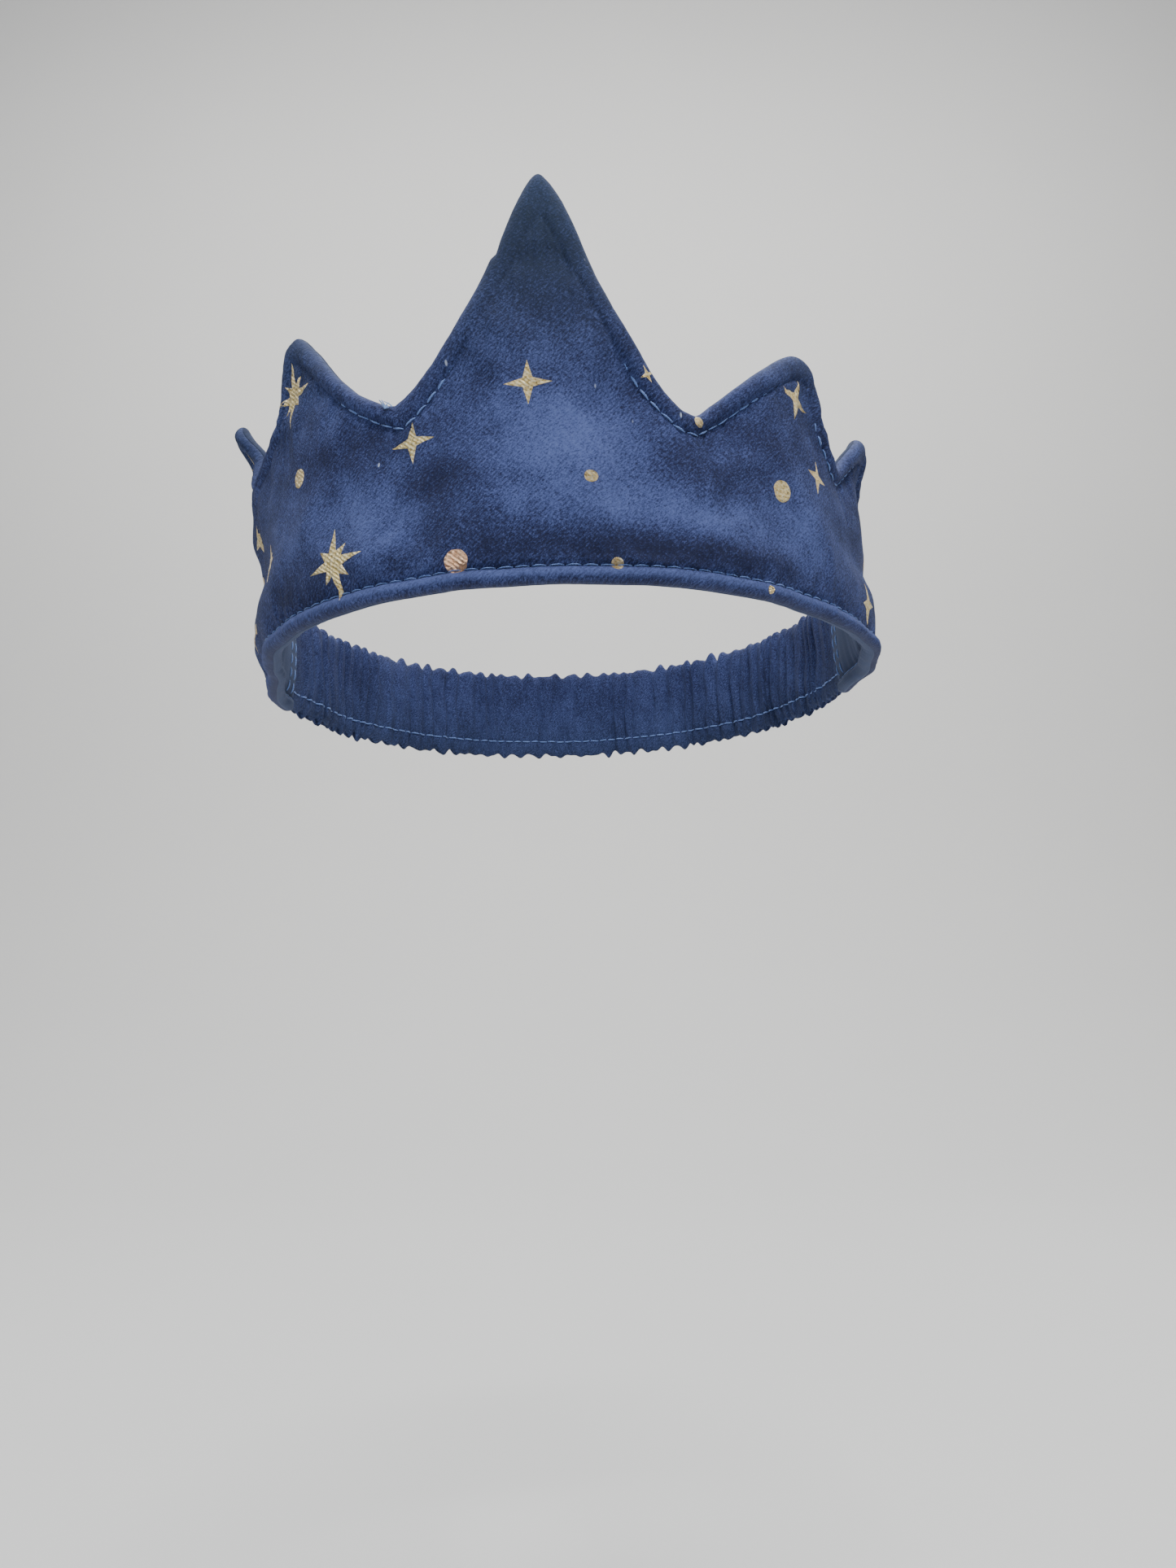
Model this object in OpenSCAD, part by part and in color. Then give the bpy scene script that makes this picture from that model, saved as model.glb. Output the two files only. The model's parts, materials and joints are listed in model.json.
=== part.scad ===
// Soft fabric crown with five points, a foil print and an elastic back.
// Millimetres. +Z up, the tall centre point at -Y, origin at the middle of the ring on its lower rim.

/* [Ring] */
// Half of the ring's width, to the outer face
ring_half_width = 76; // [60:0.5:90]
// Half of the ring's depth, front to back, to the outer face
ring_half_depth = 92; // [70:0.5:110]
// Squareness of the ring's plan, where 2 is a plain ellipse
ring_power = 2.1; // [2:0.05:2.8]

/* [Front panel] */
// Height of the tall centre point
centre_height = 81; // [60:0.5:110]
// Height of the valleys next to the centre point
valley_height = 36; // [25:0.5:50]
// Distance of those valleys from the centre, along the band
valley_at = 30.5; // [25:0.5:40]
// Height of the two side points
side_height = 59.7; // [45:0.5:80]
// Distance of the side points from the centre, along the band
side_at = 61; // [50:0.5:75]
// Height of the valleys behind the side points
rear_valley_height = 41.5; // [28:0.5:55]
// Distance of the rear valleys from the centre, along the band
rear_valley_at = 78; // [70:0.5:90]
// Height of the two rear points
rear_height = 57; // [40:0.5:80]
// Distance of the rear points from the centre, along the band
rear_at = 100; // [92:0.5:115]
// Height of the panel where the elastic back begins
end_height = 30; // [22:0.5:40]
// Distance of the panel's ends from the centre, along the band
end_at = 138; // [124:0.5:150]
// How much higher the points on the -X side are cut than the middle of the pair
hand_cut_skew = 4.2; // [0:0.1:6]

/* [Layers] */
// Thickness of the finished panel between its two faces
panel_t = 4.2; // [3:0.1:7]
// Thickness of one fabric layer with its nap
fabric_t = 0.8; // [0.4:0.1:1.2]
// Distance of the top stitching from the cut edge
top_inset = 3.6; // [2:0.1:8]
// Height of the bottom stitching above the rim
bottom_inset = 3.2; // [2:0.1:8]
// Depth of the dip that the stitching pulls into the face
stitch_dip = 0.7; // [0.2:0.1:1]
// How far the faces turn in at the sewn edge
edge_turn = 1.25; // [0.8:0.05:1.3]

/* [Thread] */
// Length of one stitch
stitch_len = 3.2; // [1.5:0.1:4]
// Distance from one stitch to the next
stitch_pitch = 4; // [2:0.1:5]
// Width of the thread
thread_w = 0.45; // [0.2:0.05:0.8]

/* [Elastic back] */
// Width of the elastic webbing
elastic_w = 20; // [12:0.5:25]
// Thickness of the elastic webbing
elastic_t = 1.2; // [0.8:0.1:2]
// Length of webbing sewn inside each end of the panel
elastic_tuck = 12; // [6:0.5:20]
// Lower edge of the gathered casing
casing_low = 0.5; // [0:0.1:4]
// Upper edge of the gathered casing
casing_high = 29; // [22:0.5:36]
// Thickness of the casing's fabric
casing_t = 0.45; // [0.3:0.05:0.8]
// Depth of the gathers
gather_depth = 0.5; // [0:0.05:0.6]
// Distance from one gather to the next
gather_pitch = 7.2; // [5:0.1:12]

/* [Foil print] */
// Thickness of the foil as modelled
foil_t = 0.15; // [0.05:0.05:0.3]
// Scale of every printed star and dot
foil_scale = 1; // [0.6:0.05:1.4]

/* [Hidden] */
gap = 0.05;
navy = [0.13, 0.19, 0.36];
navy_dark = [0.09, 0.13, 0.26];
thread_col = [0.33, 0.45, 0.74];
gold = [0.83, 0.7, 0.4];

// ---- the ring's plan ----
function spow(v, p) = sign(v) * pow(abs(v), p);
function ring_xy(a) = [ring_half_width * spow(sin(a), 2 / ring_power),
    -ring_half_depth * spow(cos(a), 2 / ring_power)];
ring_step = 1.5;
ring_n = 180 / ring_step;
ring_len = [for (i = 0, d = 0; i <= ring_n;
    d = d + norm(ring_xy((i + 1) * ring_step) - ring_xy(i * ring_step)), i = i + 1) d];
ring_table = [for (i = [0 : ring_n]) [ring_len[i], i * ring_step]];
half_len = ring_len[ring_n];
function ring_angle(s) = s > half_len ? -lookup(2 * half_len - s, ring_table)
    : sign(s) * lookup(abs(s), ring_table);
// outward normal of the plan at an angle
function ring_normal(a) = let (t = ring_xy(a + 0.6) - ring_xy(a - 0.6), u = t / norm(t)) [u[1], -u[0]];
// a point s along the band from the centre, h above the rim, d inwards from the outer face
function place(s, h, d) = let (a = ring_angle(s), p = ring_xy(a), n = ring_normal(a))
    [p[0] - n[0] * d, p[1] - n[1] * d, h];

// ---- the scalloped outline ----
function bez(a, b, c, d, t) = a * pow(1 - t, 3) + b * 3 * t * pow(1 - t, 2)
    + c * 3 * t * t * (1 - t) + d * pow(t, 3);
function curve(p, n) = [for (i = [0 : n - 1]) bez(p[0], p[1], p[2], p[3], i / n)];
// how far a stitch line drops below a round tip and a valley for one inset
tip_drop = 2.35 * top_inset;
side_drop = 1.65 * top_inset;
val_drop = 0.95 * top_inset;
// one half of the outline; k is 0 for the cut edge and 1 for the stitch line
function half_outline(k) = let (
    c0 = [0, centre_height - k * tip_drop],
    v1 = [valley_at, valley_height - k * val_drop],
    p1 = [side_at - 0.4 * k, side_height - k * side_drop],
    v2 = [rear_valley_at + 0.5 * k, rear_valley_height - k * val_drop],
    p2 = [rear_at - 0.4 * k, rear_height - k * 1.8 * top_inset],
    e = [end_at, end_height - k * top_inset])
    concat(
        curve([c0, c0 + [4.5 - 1.8 * k, 0], v1 + [-14.3 - 2.6 * k, 3 + k], v1], 9),
        curve([v1, v1 + [6.1 + 0.8 * k, 1.4], p1 + [-8.1 + 1.2 * k, 0], p1], 7),
        curve([p1, p1 + [7 - 2.2 * k, 0], v2 + [-15.1 - k, 2.4], v2], 6),
        curve([v2, v2 + [5 + 0.6 * k, 2.5], p2 + [-7 + k, 0], p2], 5),
        curve([p2, p2 + [6 - 2 * k, 0], e + [-32 - 2.5 * k, 2], e], 9),
        [e]);
// the points on one side are cut a little higher than on the other
function skew(s) = -sign(s) * hand_cut_skew
    * lookup(abs(s), [[0, 0], [side_at, 1], [rear_at, 1.08], [end_at - 8, 0], [end_at, 0]]);
function lift(p) = [p[0], p[1] + skew(p[0])];
function both(h) = concat([for (i = [len(h) - 1 : -1 : 1]) [-h[i][0], h[i][1]]], h);
edge = [for (p = both(half_outline(0))) lift(p)];
stitch = [for (p = both(half_outline(1))) lift(p)];
cols = len(edge);

// rows of the panel from the rim up: position along, height, and how far the face dips in
function rows(i) = let (
    e = edge[i], t = stitch[i], low = [t[0], bottom_inset + 2.8], top = t + (t - e) * 0.75)
    [[t[0], 0, edge_turn], [t[0], bottom_inset * 0.47, 0.12], [t[0], bottom_inset, stitch_dip],
     [low[0], low[1], 0.1],
     for (k = [1 : 3]) [low[0] + (top[0] - low[0]) * k / 4, low[1] + (top[1] - low[1]) * k / 4, 0],
     [top[0], top[1], 0.1], [t[0], t[1], stitch_dip],
     [(t[0] + e[0]) / 2, (t[1] + e[1]) / 2, 0.12], [e[0], e[1], edge_turn]];
grid = [for (i = [0 : cols - 1]) rows(i)];

// one layer of the panel between two depths; from_back measures the depths from the inner face
function layer(d, r0, r1, c0, c1, from_back = false) = [for (r = [r0 : r1]) [for (c = [c0 : c1])
    let (q = grid[c][r], w = q[2] + d) place(q[0], q[1], from_back ? panel_t - w : w)]];

// closed slab between two grids of points with the same rows and columns
module slab(front, back) {
    nr = len(front);
    nc = len(front[0]);
    m = nr * nc;
    pts = concat([for (r = front) each r], [for (r = back) each r]);
    faces = concat(
        [for (r = [0 : nr - 2], c = [0 : nc - 2]) let (a = r * nc + c) each
            [[a, a + nc, a + nc + 1], [a, a + nc + 1, a + 1],
             [a + m, a + m + nc + 1, a + m + nc], [a + m, a + m + 1, a + m + nc + 1]]],
        [for (c = [0 : nc - 2]) let (t = (nr - 1) * nc + c) each
            [[c, c + 1, c + 1 + m], [c, c + 1 + m, c + m],
             [t + 1, t, t + m], [t + 1, t + m, t + 1 + m]]],
        [for (r = [0 : nr - 2]) let (a = r * nc, e = r * nc + nc - 1) each
            [[a + nc, a, a + m], [a + nc, a + m, a + nc + m],
             [e, e + nc, e + nc + m], [e, e + nc + m, e + m]]]);
    polyhedron(points = pts, faces = faces);
}

// separate thin plates that follow the band; every outline has the same number of points
module plates(outlines, d_out, d_in) {
    n = len(outlines[0]);
    st = 2 * n + 2;
    function mid(o) = [for (k = [0, 1]) let (v = [for (p = o) p[k]]) v * [for (p = o) 1] / n];
    pts = [for (o = outlines) each concat([for (p = o) place(p[0], p[1], d_out)],
        [for (p = o) place(p[0], p[1], d_in)],
        [let (c = mid(o)) place(c[0], c[1], d_out), let (c = mid(o)) place(c[0], c[1], d_in)])];
    faces = [for (k = [0 : len(outlines) - 1], i = [0 : n - 1])
        let (b = k * st, j = (i + 1) % n) each
            [[b + 2 * n, b + j, b + i], [b + 2 * n + 1, b + n + i, b + n + j],
             [b + i, b + j, b + n + j], [b + i, b + n + j, b + n + i]]];
    polyhedron(points = pts, faces = faces);
}

// ---- stitches along a path of [s, h] points ----
function run(path) = [for (i = 0, d = 0; i < len(path);
    d = d + (i < len(path) - 1 ? norm(path[i + 1] - path[i]) : 0), i = i + 1) d];
function along(path, r, l) = [for (k = [0, 1]) lookup(l, [for (i = [0 : len(path) - 1]) [r[i], path[i][k]]])];
function bar(a, b, w) = let (u = (b - a) / norm(b - a), v = [-u[1], u[0]] * w / 2)
    [a - v, b - v, b + v, a + v];
function stitches(path) = let (r = run(path), total = r[len(r) - 1], n = floor(total / stitch_pitch))
    [for (i = [0 : n - 1]) let (l = (i + 0.5) * total / n)
        bar(along(path, r, l - stitch_len / 2), along(path, r, l + stitch_len / 2), thread_w)];
bottom_path = [for (i = [0 : 60]) [-end_at + 1.5 + i * (2 * end_at - 3) / 60, bottom_inset]];
// stitches on both faces, lying in the dip
module topstitch(path) {
    plates(stitches(path), stitch_dip - 0.5, stitch_dip - 0.15);
    plates(stitches(path), panel_t - stitch_dip + 0.15, panel_t - stitch_dip + 0.5);
}
// a continuous thread inside the sewn edge
module inner_thread(path) {
    slab([[for (p = path) place(p[0], p[1], panel_t / 2 - 0.2)],
          [for (p = path) place(p[0], p[1] + 0.4, panel_t / 2 - 0.2)]],
         [[for (p = path) place(p[0], p[1], panel_t / 2 + 0.2)],
          [for (p = path) place(p[0], p[1] + 0.4, panel_t / 2 + 0.2)]]);
}

// ---- printed shapes ----
function star4(c, w, h, turn) = [for (i = [0 : 7]) let (a = i * 45,
    r = i % 2 == 1 ? 0.17 * (w + h) / 2 : (i % 4 == 0 ? w / 2 : h / 2))
    c + foil_scale * r * [cos(a + turn), sin(a + turn)]];
function star8(c, w, h, turn) = [for (i = [0 : 15]) let (a = i * 22.5,
    r = i % 2 == 1 ? 0.14 * (w + h) / 2 : (i % 8 == 0 ? w / 2 : (i % 8 == 4 ? h / 2 : 0.3 * (w + h) / 2)))
    c + foil_scale * r * [cos(a + turn), sin(a + turn)]];
function dot(c, r) = [for (i = [0 : 9]) c + foil_scale * r * [cos(36 * i), sin(36 * i)]];

four_point = [[[-2.9, 39.1], 8.6, 7.8, 2], [[-25.6, 29.9], 7.6, 7.6, 4], [[57.7, 44.4], 7.2, 8, -18],
    [[63.8, 29.6], 5.2, 6.2, -10], [[92.1, 8.6], 6.6, 7.6, 8], [[-88, 31], 7.4, 7.6, 12],
    [[-108, 12], 6.2, 6.6, -6], [[110, 33], 7, 7.4, 20], [[-127, 22], 5.4, 5.8, 0], [[124, 10], 6.4, 6.8, 5]];
eight_point = [[[-44.4, 9.6], 9.8, 12.2, 7], [[-61.1, 52.6], 9, 11, -8], [[-73.5, 17.8], 8, 10.5, 4],
    [[97, 41], 9, 11, 10], [[-99, 47], 8.4, 10.2, -4], [[76, 19], 7, 8, 3], [[-118, 26], 8.4, 10, 8]];
dots = [[[-16.9, 5.6], 2.25], [[8.4, 19.7], 1.3], [[12.7, 4.4], 1.15], [[30.5, 28.4], 1.1],
    [[51, 23.3], 2.25], [[-57.4, 31.4], 2], [[-83, 8], 1.2], [[-96, 24], 2], [[84, 33], 1.2],
    [[104, 19], 2.1], [[-112, 38], 1.2], [[115, 22], 1.2], [[127.6, 17.5], 1.9]];
casing_four = [for (i = [0 : 5]) [[end_at + 22 + i * 42, 15 + 6 * sin(i * 130)], 6.6, 7, 15 * i]];
casing_dots = [for (i = [0 : 6]) [[end_at + 8 + i * 40, 15 + 7 * sin(i * 100 + 200)], 1.5]];

// ---- the gathered casing and its webbing ----
cas_a = end_at + 0.35;
cas_b = 2 * half_len - end_at - 0.35;
cas_n = 4 * round((cas_b - cas_a) / gather_pitch);
function gather(i) = gather_depth * sin(90 * i + 20) * min(1, min(i, cas_n - i) / 4);
// closed section of the casing: [depth, height] pairs, with the wall at offset w inwards
function casing_loop(g, w) = let (o = gather_depth - g + w, b = panel_t - gather_depth + g - w,
    lo = casing_low + w, hi = casing_high - w, m = panel_t / 2)
    [[o, lo + 2.4], [o, hi - 2.4], [m - 0.7, hi], [m + 0.7, hi],
     [b, hi - 2.4], [b, lo + 2.4], [m + 0.7, lo], [m - 0.7, lo]];

module outer_panel() {
    color(navy) slab(layer(0, 0, 10, 0, cols - 1), layer(fabric_t, 0, 10, 0, cols - 1));
}
module lining_panel() {
    color(navy_dark) slab(layer(fabric_t, 0, 10, 0, cols - 1, true), layer(0, 0, 10, 0, cols - 1, true));
}
// padding cut without seam allowance, so it stops at the stitch lines and short of the elastic
module fleece_interlining() {
    color([0.9, 0.9, 0.87]) slab(layer(fabric_t + gap, 2, 8, 3, cols - 4),
        layer(fabric_t + gap, 2, 8, 3, cols - 4, true));
}
module top_seam_thread() {
    color(thread_col) inner_thread([for (i = [1 : cols - 2]) edge[i] * 0.7 + stitch[i] * 0.3 - [0, 0.2]]);
}
module bottom_seam_thread() {
    color(thread_col) inner_thread([for (p = bottom_path) [p[0], 0.5]]);
}
module top_edge_topstitch() {
    color(thread_col) topstitch([for (i = [1 : cols - 2]) stitch[i]]);
}
module bottom_edge_topstitch() {
    color(thread_col) topstitch(bottom_path);
}
// two upright rows at one end of the panel that close it over the webbing
module end_stitching(side) {
    rowset = [for (k = [3, 6.5], i = [0 : 3]) let (s = side * (end_at - k), h = 6.6 + i * 4.4)
        bar([s, h], [s, h + 3.2], thread_w)];
    color(thread_col) {
        plates(rowset, -0.4, -0.05);
        plates(rowset, panel_t + 0.2, panel_t + 0.5);
    }
}
module left_end_stitching() { end_stitching(-1); }
module right_end_stitching() { end_stitching(1); }
// zigzag that first holds the webbing's end to the panel, hidden in the pocket
module elastic_anchor(side) {
    zig = [for (i = [0 : 6]) let (h = 7 + i * 2.4, s = side * (end_at - elastic_tuck + 3))
        bar([s + (i % 2 == 0 ? -1 : 1), h], [s + (i % 2 == 0 ? 1 : -1), h + 2.1], thread_w)];
    color(thread_col) plates(zig, fabric_t + 0.12, fabric_t + 0.42);
}
module left_elastic_anchor() { elastic_anchor(-1); }
module right_elastic_anchor() { elastic_anchor(1); }
module foil_four_point_stars() {
    color(gold) plates([for (f = four_point) star4(f[0], f[1], f[2], f[3])], -gap - foil_t, -gap);
}
module foil_eight_point_stars() {
    color(gold) plates([for (f = eight_point) star8(f[0], f[1], f[2], f[3])], -gap - foil_t, -gap);
}
module foil_dots() {
    color(gold) plates([for (f = dots) dot(f[0], f[1])], -gap - foil_t, -gap);
}
// the cut end of the seam's thread at the valley on the -X side
module loose_thread() {
    tail = [[-valley_at - 2, valley_height + 2.4], [-valley_at - 1.2, valley_height + 4.6],
        [-valley_at + 0.2, valley_height + 5.4]];
    color(thread_col) plates([bar(tail[0], tail[1], 0.4), bar(tail[1] + [0.1, 0.1], tail[2], 0.4)],
        panel_t / 2 - 0.2, panel_t / 2 + 0.2);
}
module elastic_webbing() {
    n = 64;
    a = end_at - elastic_tuck;
    b = 2 * half_len - a;
    lo = (end_height - elastic_w) / 2;
    function strip(d) = [for (h = [lo, lo + elastic_w]) [for (i = [0 : n]) place(a + (b - a) * i / n, h, d)]];
    color([0.12, 0.13, 0.16]) slab(strip((panel_t - elastic_t) / 2), strip((panel_t + elastic_t) / 2));
}
module elastic_casing() {
    loops = [for (i = [0 : cas_n]) let (s = cas_a + (cas_b - cas_a) * i / cas_n, g = gather(i)) each
        [for (w = [0, casing_t]) [for (q = casing_loop(g, w)) place(s, q[1], q[0])]]];
    m = len(loops[0]);
    pts = [for (l = loops) each l];
    // outer skin, inner skin, then the two open ends of the tube
    faces = concat(
        [for (i = [0 : cas_n - 1], j = [0 : m - 1]) let (k = (j + 1) % m,
            a = 2 * i * m, b = 2 * (i + 1) * m) each
            [[a + j, a + k, b + k], [a + j, b + k, b + j],
             [a + m + j, b + m + k, a + m + k], [a + m + j, b + m + j, b + m + k]]],
        [for (j = [0 : m - 1]) let (k = (j + 1) % m, z = 2 * cas_n * m) each
            [[j, m + k, k], [j, m + j, m + k],
             [z + j, z + k, z + m + k], [z + j, z + m + k, z + m + j]]]);
    color(navy) polyhedron(points = pts, faces = faces);
}
module casing_seam_stitching() {
    path = [for (i = [0 : 70]) [cas_a + 3 + (cas_b - cas_a - 6) * i / 70, casing_low + 5]];
    color(thread_col) plates(stitches(path), panel_t + 0.05, panel_t + 0.35);
}
module casing_foil_print() {
    color(gold) {
        plates([for (f = casing_four) star4(f[0], f[1], f[2], f[3])], -gap - foil_t, -gap);
        plates([for (f = casing_dots) dot(f[0], f[1])], -gap - foil_t, -gap);
    }
}

outer_panel();
lining_panel();
fleece_interlining();
top_seam_thread();
bottom_seam_thread();
top_edge_topstitch();
bottom_edge_topstitch();
left_end_stitching();
right_end_stitching();
left_elastic_anchor();
right_elastic_anchor();
foil_four_point_stars();
foil_eight_point_stars();
foil_dots();
loose_thread();
elastic_webbing();
elastic_casing();
casing_seam_stitching();
casing_foil_print();
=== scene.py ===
"""A soft fabric crown: padded five-point front, foil print, topstitching and a gathered elastic back."""

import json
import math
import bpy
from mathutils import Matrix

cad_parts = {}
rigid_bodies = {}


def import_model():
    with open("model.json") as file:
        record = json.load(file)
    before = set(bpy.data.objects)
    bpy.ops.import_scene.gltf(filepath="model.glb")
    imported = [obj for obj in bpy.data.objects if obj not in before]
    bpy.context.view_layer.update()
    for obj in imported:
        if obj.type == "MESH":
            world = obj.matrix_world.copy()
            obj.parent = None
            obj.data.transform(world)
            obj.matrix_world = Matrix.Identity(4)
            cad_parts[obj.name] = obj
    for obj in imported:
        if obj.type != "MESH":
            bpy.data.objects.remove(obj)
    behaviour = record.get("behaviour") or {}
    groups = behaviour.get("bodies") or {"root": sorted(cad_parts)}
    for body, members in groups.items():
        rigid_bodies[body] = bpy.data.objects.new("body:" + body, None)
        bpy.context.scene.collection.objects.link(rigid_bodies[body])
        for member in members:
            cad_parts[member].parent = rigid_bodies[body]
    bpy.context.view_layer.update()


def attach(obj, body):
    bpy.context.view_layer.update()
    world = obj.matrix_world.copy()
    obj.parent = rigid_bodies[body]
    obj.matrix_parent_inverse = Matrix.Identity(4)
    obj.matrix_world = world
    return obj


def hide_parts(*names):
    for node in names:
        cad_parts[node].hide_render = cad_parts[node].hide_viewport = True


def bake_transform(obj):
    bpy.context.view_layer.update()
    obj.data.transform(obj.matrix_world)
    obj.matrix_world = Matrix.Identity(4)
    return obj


bl_info = {
    "name": "Fabric crown",
    "version": (1, 0, 0),
    "blender": (4, 5, 0),
    "location": "3D View > Sidebar > Crown",
    "description": "Sews a padded fabric crown round its CAD frame",
    "category": "Object",
}

import bmesh
import bpy
import numpy as np
from mathutils import Matrix, Vector

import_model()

MM = 0.001

# ---- pattern, in millimetres along the band (s), above the rim (h) and inwards from the face (d) ----
RING_HALF_WIDTH, RING_HALF_DEPTH, RING_POWER = 76.0, 92.0, 2.1
CENTRE_H, VALLEY_H, SIDE_H, REAR_VALLEY_H, REAR_H, END_H = 81.0, 36.0, 59.7, 41.5, 57.0, 30.0
VALLEY_S, SIDE_S, REAR_VALLEY_S, REAR_S, END_S = 30.5, 61.0, 78.0, 100.0, 138.0
SKEW = 4.2
PANEL_T = 4.2
TOP_INSET, BOTTOM_INSET = 3.6, 3.2
# points along each run of the scalloped outline, for the finished cloth and for the padding's simulation
FINE_STEPS = (72, 52, 40, 36, 60)
SIM_STEPS = (36, 26, 20, 18, 30)
# rows of a rolled edge, of the padded field between the stitches, and of that field in the simulation;
# the lower rolled edge comes first, so the field starts after it
ROLL_ROWS, FIELD_ROWS, SIM_ROWS = 13, 46, 40
FIELD_START = ROLL_ROWS - 1
# the panel's ends are folded in over this width, down to this depth
FOLD_WIDTH, FOLD_DEPTH = 2.0, 0.62
# air pressure of the padding and the cloth's extra length, for the simulation
PADDING_PRESSURE, CLOTH_EASE = 3.5, 0.012
# how far a valley's own settling reaches along the band
VALLEY_REACH = 9.0
TWILL_SPACING = 0.72
# grown points nearer the origin than this, in metres, have missed the cloth
LOST_REACH = 0.02
# the casing over the elastic: how far its ends lie inside the panel, its lower and upper edge, its seam's
# height, and its cloth's thickness in metres
CASING_IN = 6.5
CASING_LOW, CASING_HIGH = 0.9, 28.8
HEM_H = 5.6
CASING_CLOTH = 0.00032
# the flat map is squeezed into one unit: FLAT_SPAN mm across, shifted so that nothing is negative
FLAT_SPAN, FLAT_S0, FLAT_H0 = 600.0, 150.0, 20.0


# ---------------------------------------------------------------- sizes and colours a user would change
class CrownClothSettings(bpy.types.PropertyGroup):
    puff: bpy.props.FloatProperty(
        name="Padding", description="How far the padding pushes the cloth out",
        default=0.00115, min=0.0, max=0.003, unit="LENGTH")
    pucker: bpy.props.FloatProperty(
        name="Pucker", description="Depth of the small gathers at the stitches",
        default=0.0002, min=0.0, max=0.001, unit="LENGTH")
    roll: bpy.props.FloatProperty(
        name="Edge roll", description="Radius of the rolled edge beyond the stitching",
        default=0.0022, min=0.001, max=0.004, unit="LENGTH")
    cloth_t: bpy.props.FloatProperty(
        name="Cloth thickness", description="Thickness of one layer",
        default=0.0005, min=0.0002, max=0.001, unit="LENGTH")
    navy: bpy.props.FloatVectorProperty(
        name="Navy", description="Main colour of the brushed cotton",
        subtype="COLOR", default=(0.0285, 0.041, 0.142))
    navy_light: bpy.props.FloatVectorProperty(
        name="Nap", description="Colour where the nap catches the light",
        subtype="COLOR", default=(0.112, 0.155, 0.395))
    navy_deep: bpy.props.FloatVectorProperty(
        name="Deep", description="Colour between the fibres",
        subtype="COLOR", default=(0.009, 0.013, 0.044))


class CrownThreadSettings(bpy.types.PropertyGroup):
    pitch: bpy.props.FloatProperty(
        name="Stitch length", description="From one hole to the next",
        default=0.0031, min=0.001, max=0.006, unit="LENGTH")
    width: bpy.props.FloatProperty(
        name="Thread width", description="Across the thread",
        default=0.00043, min=0.0001, max=0.001, unit="LENGTH")
    colour: bpy.props.FloatVectorProperty(
        name="Thread", description="Colour of the sewing thread",
        subtype="COLOR", default=(0.14, 0.25, 0.64))


class CrownFoilSettings(bpy.types.PropertyGroup):
    lift: bpy.props.FloatProperty(
        name="Foil lift", description="Height of the foil above the cloth",
        default=0.00007, min=0.00001, max=0.0003, unit="LENGTH")
    gold: bpy.props.FloatVectorProperty(
        name="Gold", description="Colour of the stars",
        subtype="COLOR", default=(0.76, 0.60, 0.25))
    rose: bpy.props.FloatVectorProperty(
        name="Rose", description="Colour of the warmer dots",
        subtype="COLOR", default=(0.78, 0.47, 0.30))


class CrownBackSettings(bpy.types.PropertyGroup):
    gather: bpy.props.FloatProperty(
        name="Gathers", description="Height of the casing's gathers",
        default=0.0015, min=0.0, max=0.004, unit="LENGTH")
    gather_pitch: bpy.props.FloatProperty(
        name="Gather spacing", description="Typical distance between gathers",
        default=0.0052, min=0.002, max=0.012, unit="LENGTH")


class CrownStageSettings(bpy.types.PropertyGroup):
    drop: bpy.props.FloatProperty(
        name="Floor drop", description="Floor below the crown's rim",
        default=0.30, unit="LENGTH")
    key: bpy.props.FloatProperty(
        name="Key light", description="Power of the main light",
        default=26.0, unit="POWER")


# ---------------------------------------------------------------- the ring and the scalloped outline
def ring_plan():
    """Half of the ring's plan at even steps: length from the front centre, x, y and the outward direction."""
    a = np.linspace(0.0, math.pi, 2881)
    power = 2.0 / RING_POWER
    x = RING_HALF_WIDTH * np.abs(np.sin(a)) ** power
    y = -RING_HALF_DEPTH * np.sign(np.cos(a)) * np.abs(np.cos(a)) ** power
    s = np.concatenate([[0.0], np.cumsum(np.hypot(np.diff(x), np.diff(y)))])
    even = np.linspace(0.0, s[-1], 1441)
    x, y = np.interp(even, s, x), np.interp(even, s, y)
    tx, ty = np.gradient(x, even), np.gradient(y, even)
    length = np.hypot(tx, ty)
    nx, ny = ty / length, -tx / length
    nx[0], ny[0], nx[-1], ny[-1] = 0.0, -1.0, 0.0, 1.0
    return even, x, y, nx, ny


RING_S, RING_X, RING_Y, RING_NX, RING_NY = ring_plan()
HALF_LEN = RING_S[-1]


def place(s, h, d):
    """Metres in the frame for points s along the band, h up and d inwards from the outer face."""
    s = (np.asarray(s, float) + HALF_LEN) % (2 * HALF_LEN) - HALF_LEN
    q, side = np.abs(s), np.where(s < 0, -1.0, 1.0)
    x, y = np.interp(q, RING_S, RING_X) * side, np.interp(q, RING_S, RING_Y)
    nx, ny = np.interp(q, RING_S, RING_NX) * side, np.interp(q, RING_S, RING_NY)
    return np.stack([x - nx * d, y - ny * d, h + 0 * x], -1) * MM


def lay(flat, depth):
    """Metres in the frame for flat (s, h) points and their depths."""
    return place(flat[..., 0], flat[..., 1], depth)


def swell(x, at, reach):
    """1 at one place, fading smoothly over the given reach."""
    return np.exp(-((x - at) / reach) ** 2)


def bezier(points, n):
    """The first n points of a cubic curve in even steps, without its last point."""
    t = np.arange(n)[:, None] / n
    a, b, c, d = (np.array(p, float) for p in points)
    return a * (1 - t) ** 3 + 3 * b * t * (1 - t) ** 2 + 3 * c * t * t * (1 - t) + d * t ** 3


def skew(s):
    """The points sit higher on the -X side and lower on the +X side."""
    stations, share = [0, SIDE_S, REAR_S, END_S - 8, END_S], [0, 1, 1.08, 0, 0]
    return -np.sign(s) * SKEW * np.interp(np.abs(s), stations, share)


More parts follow.
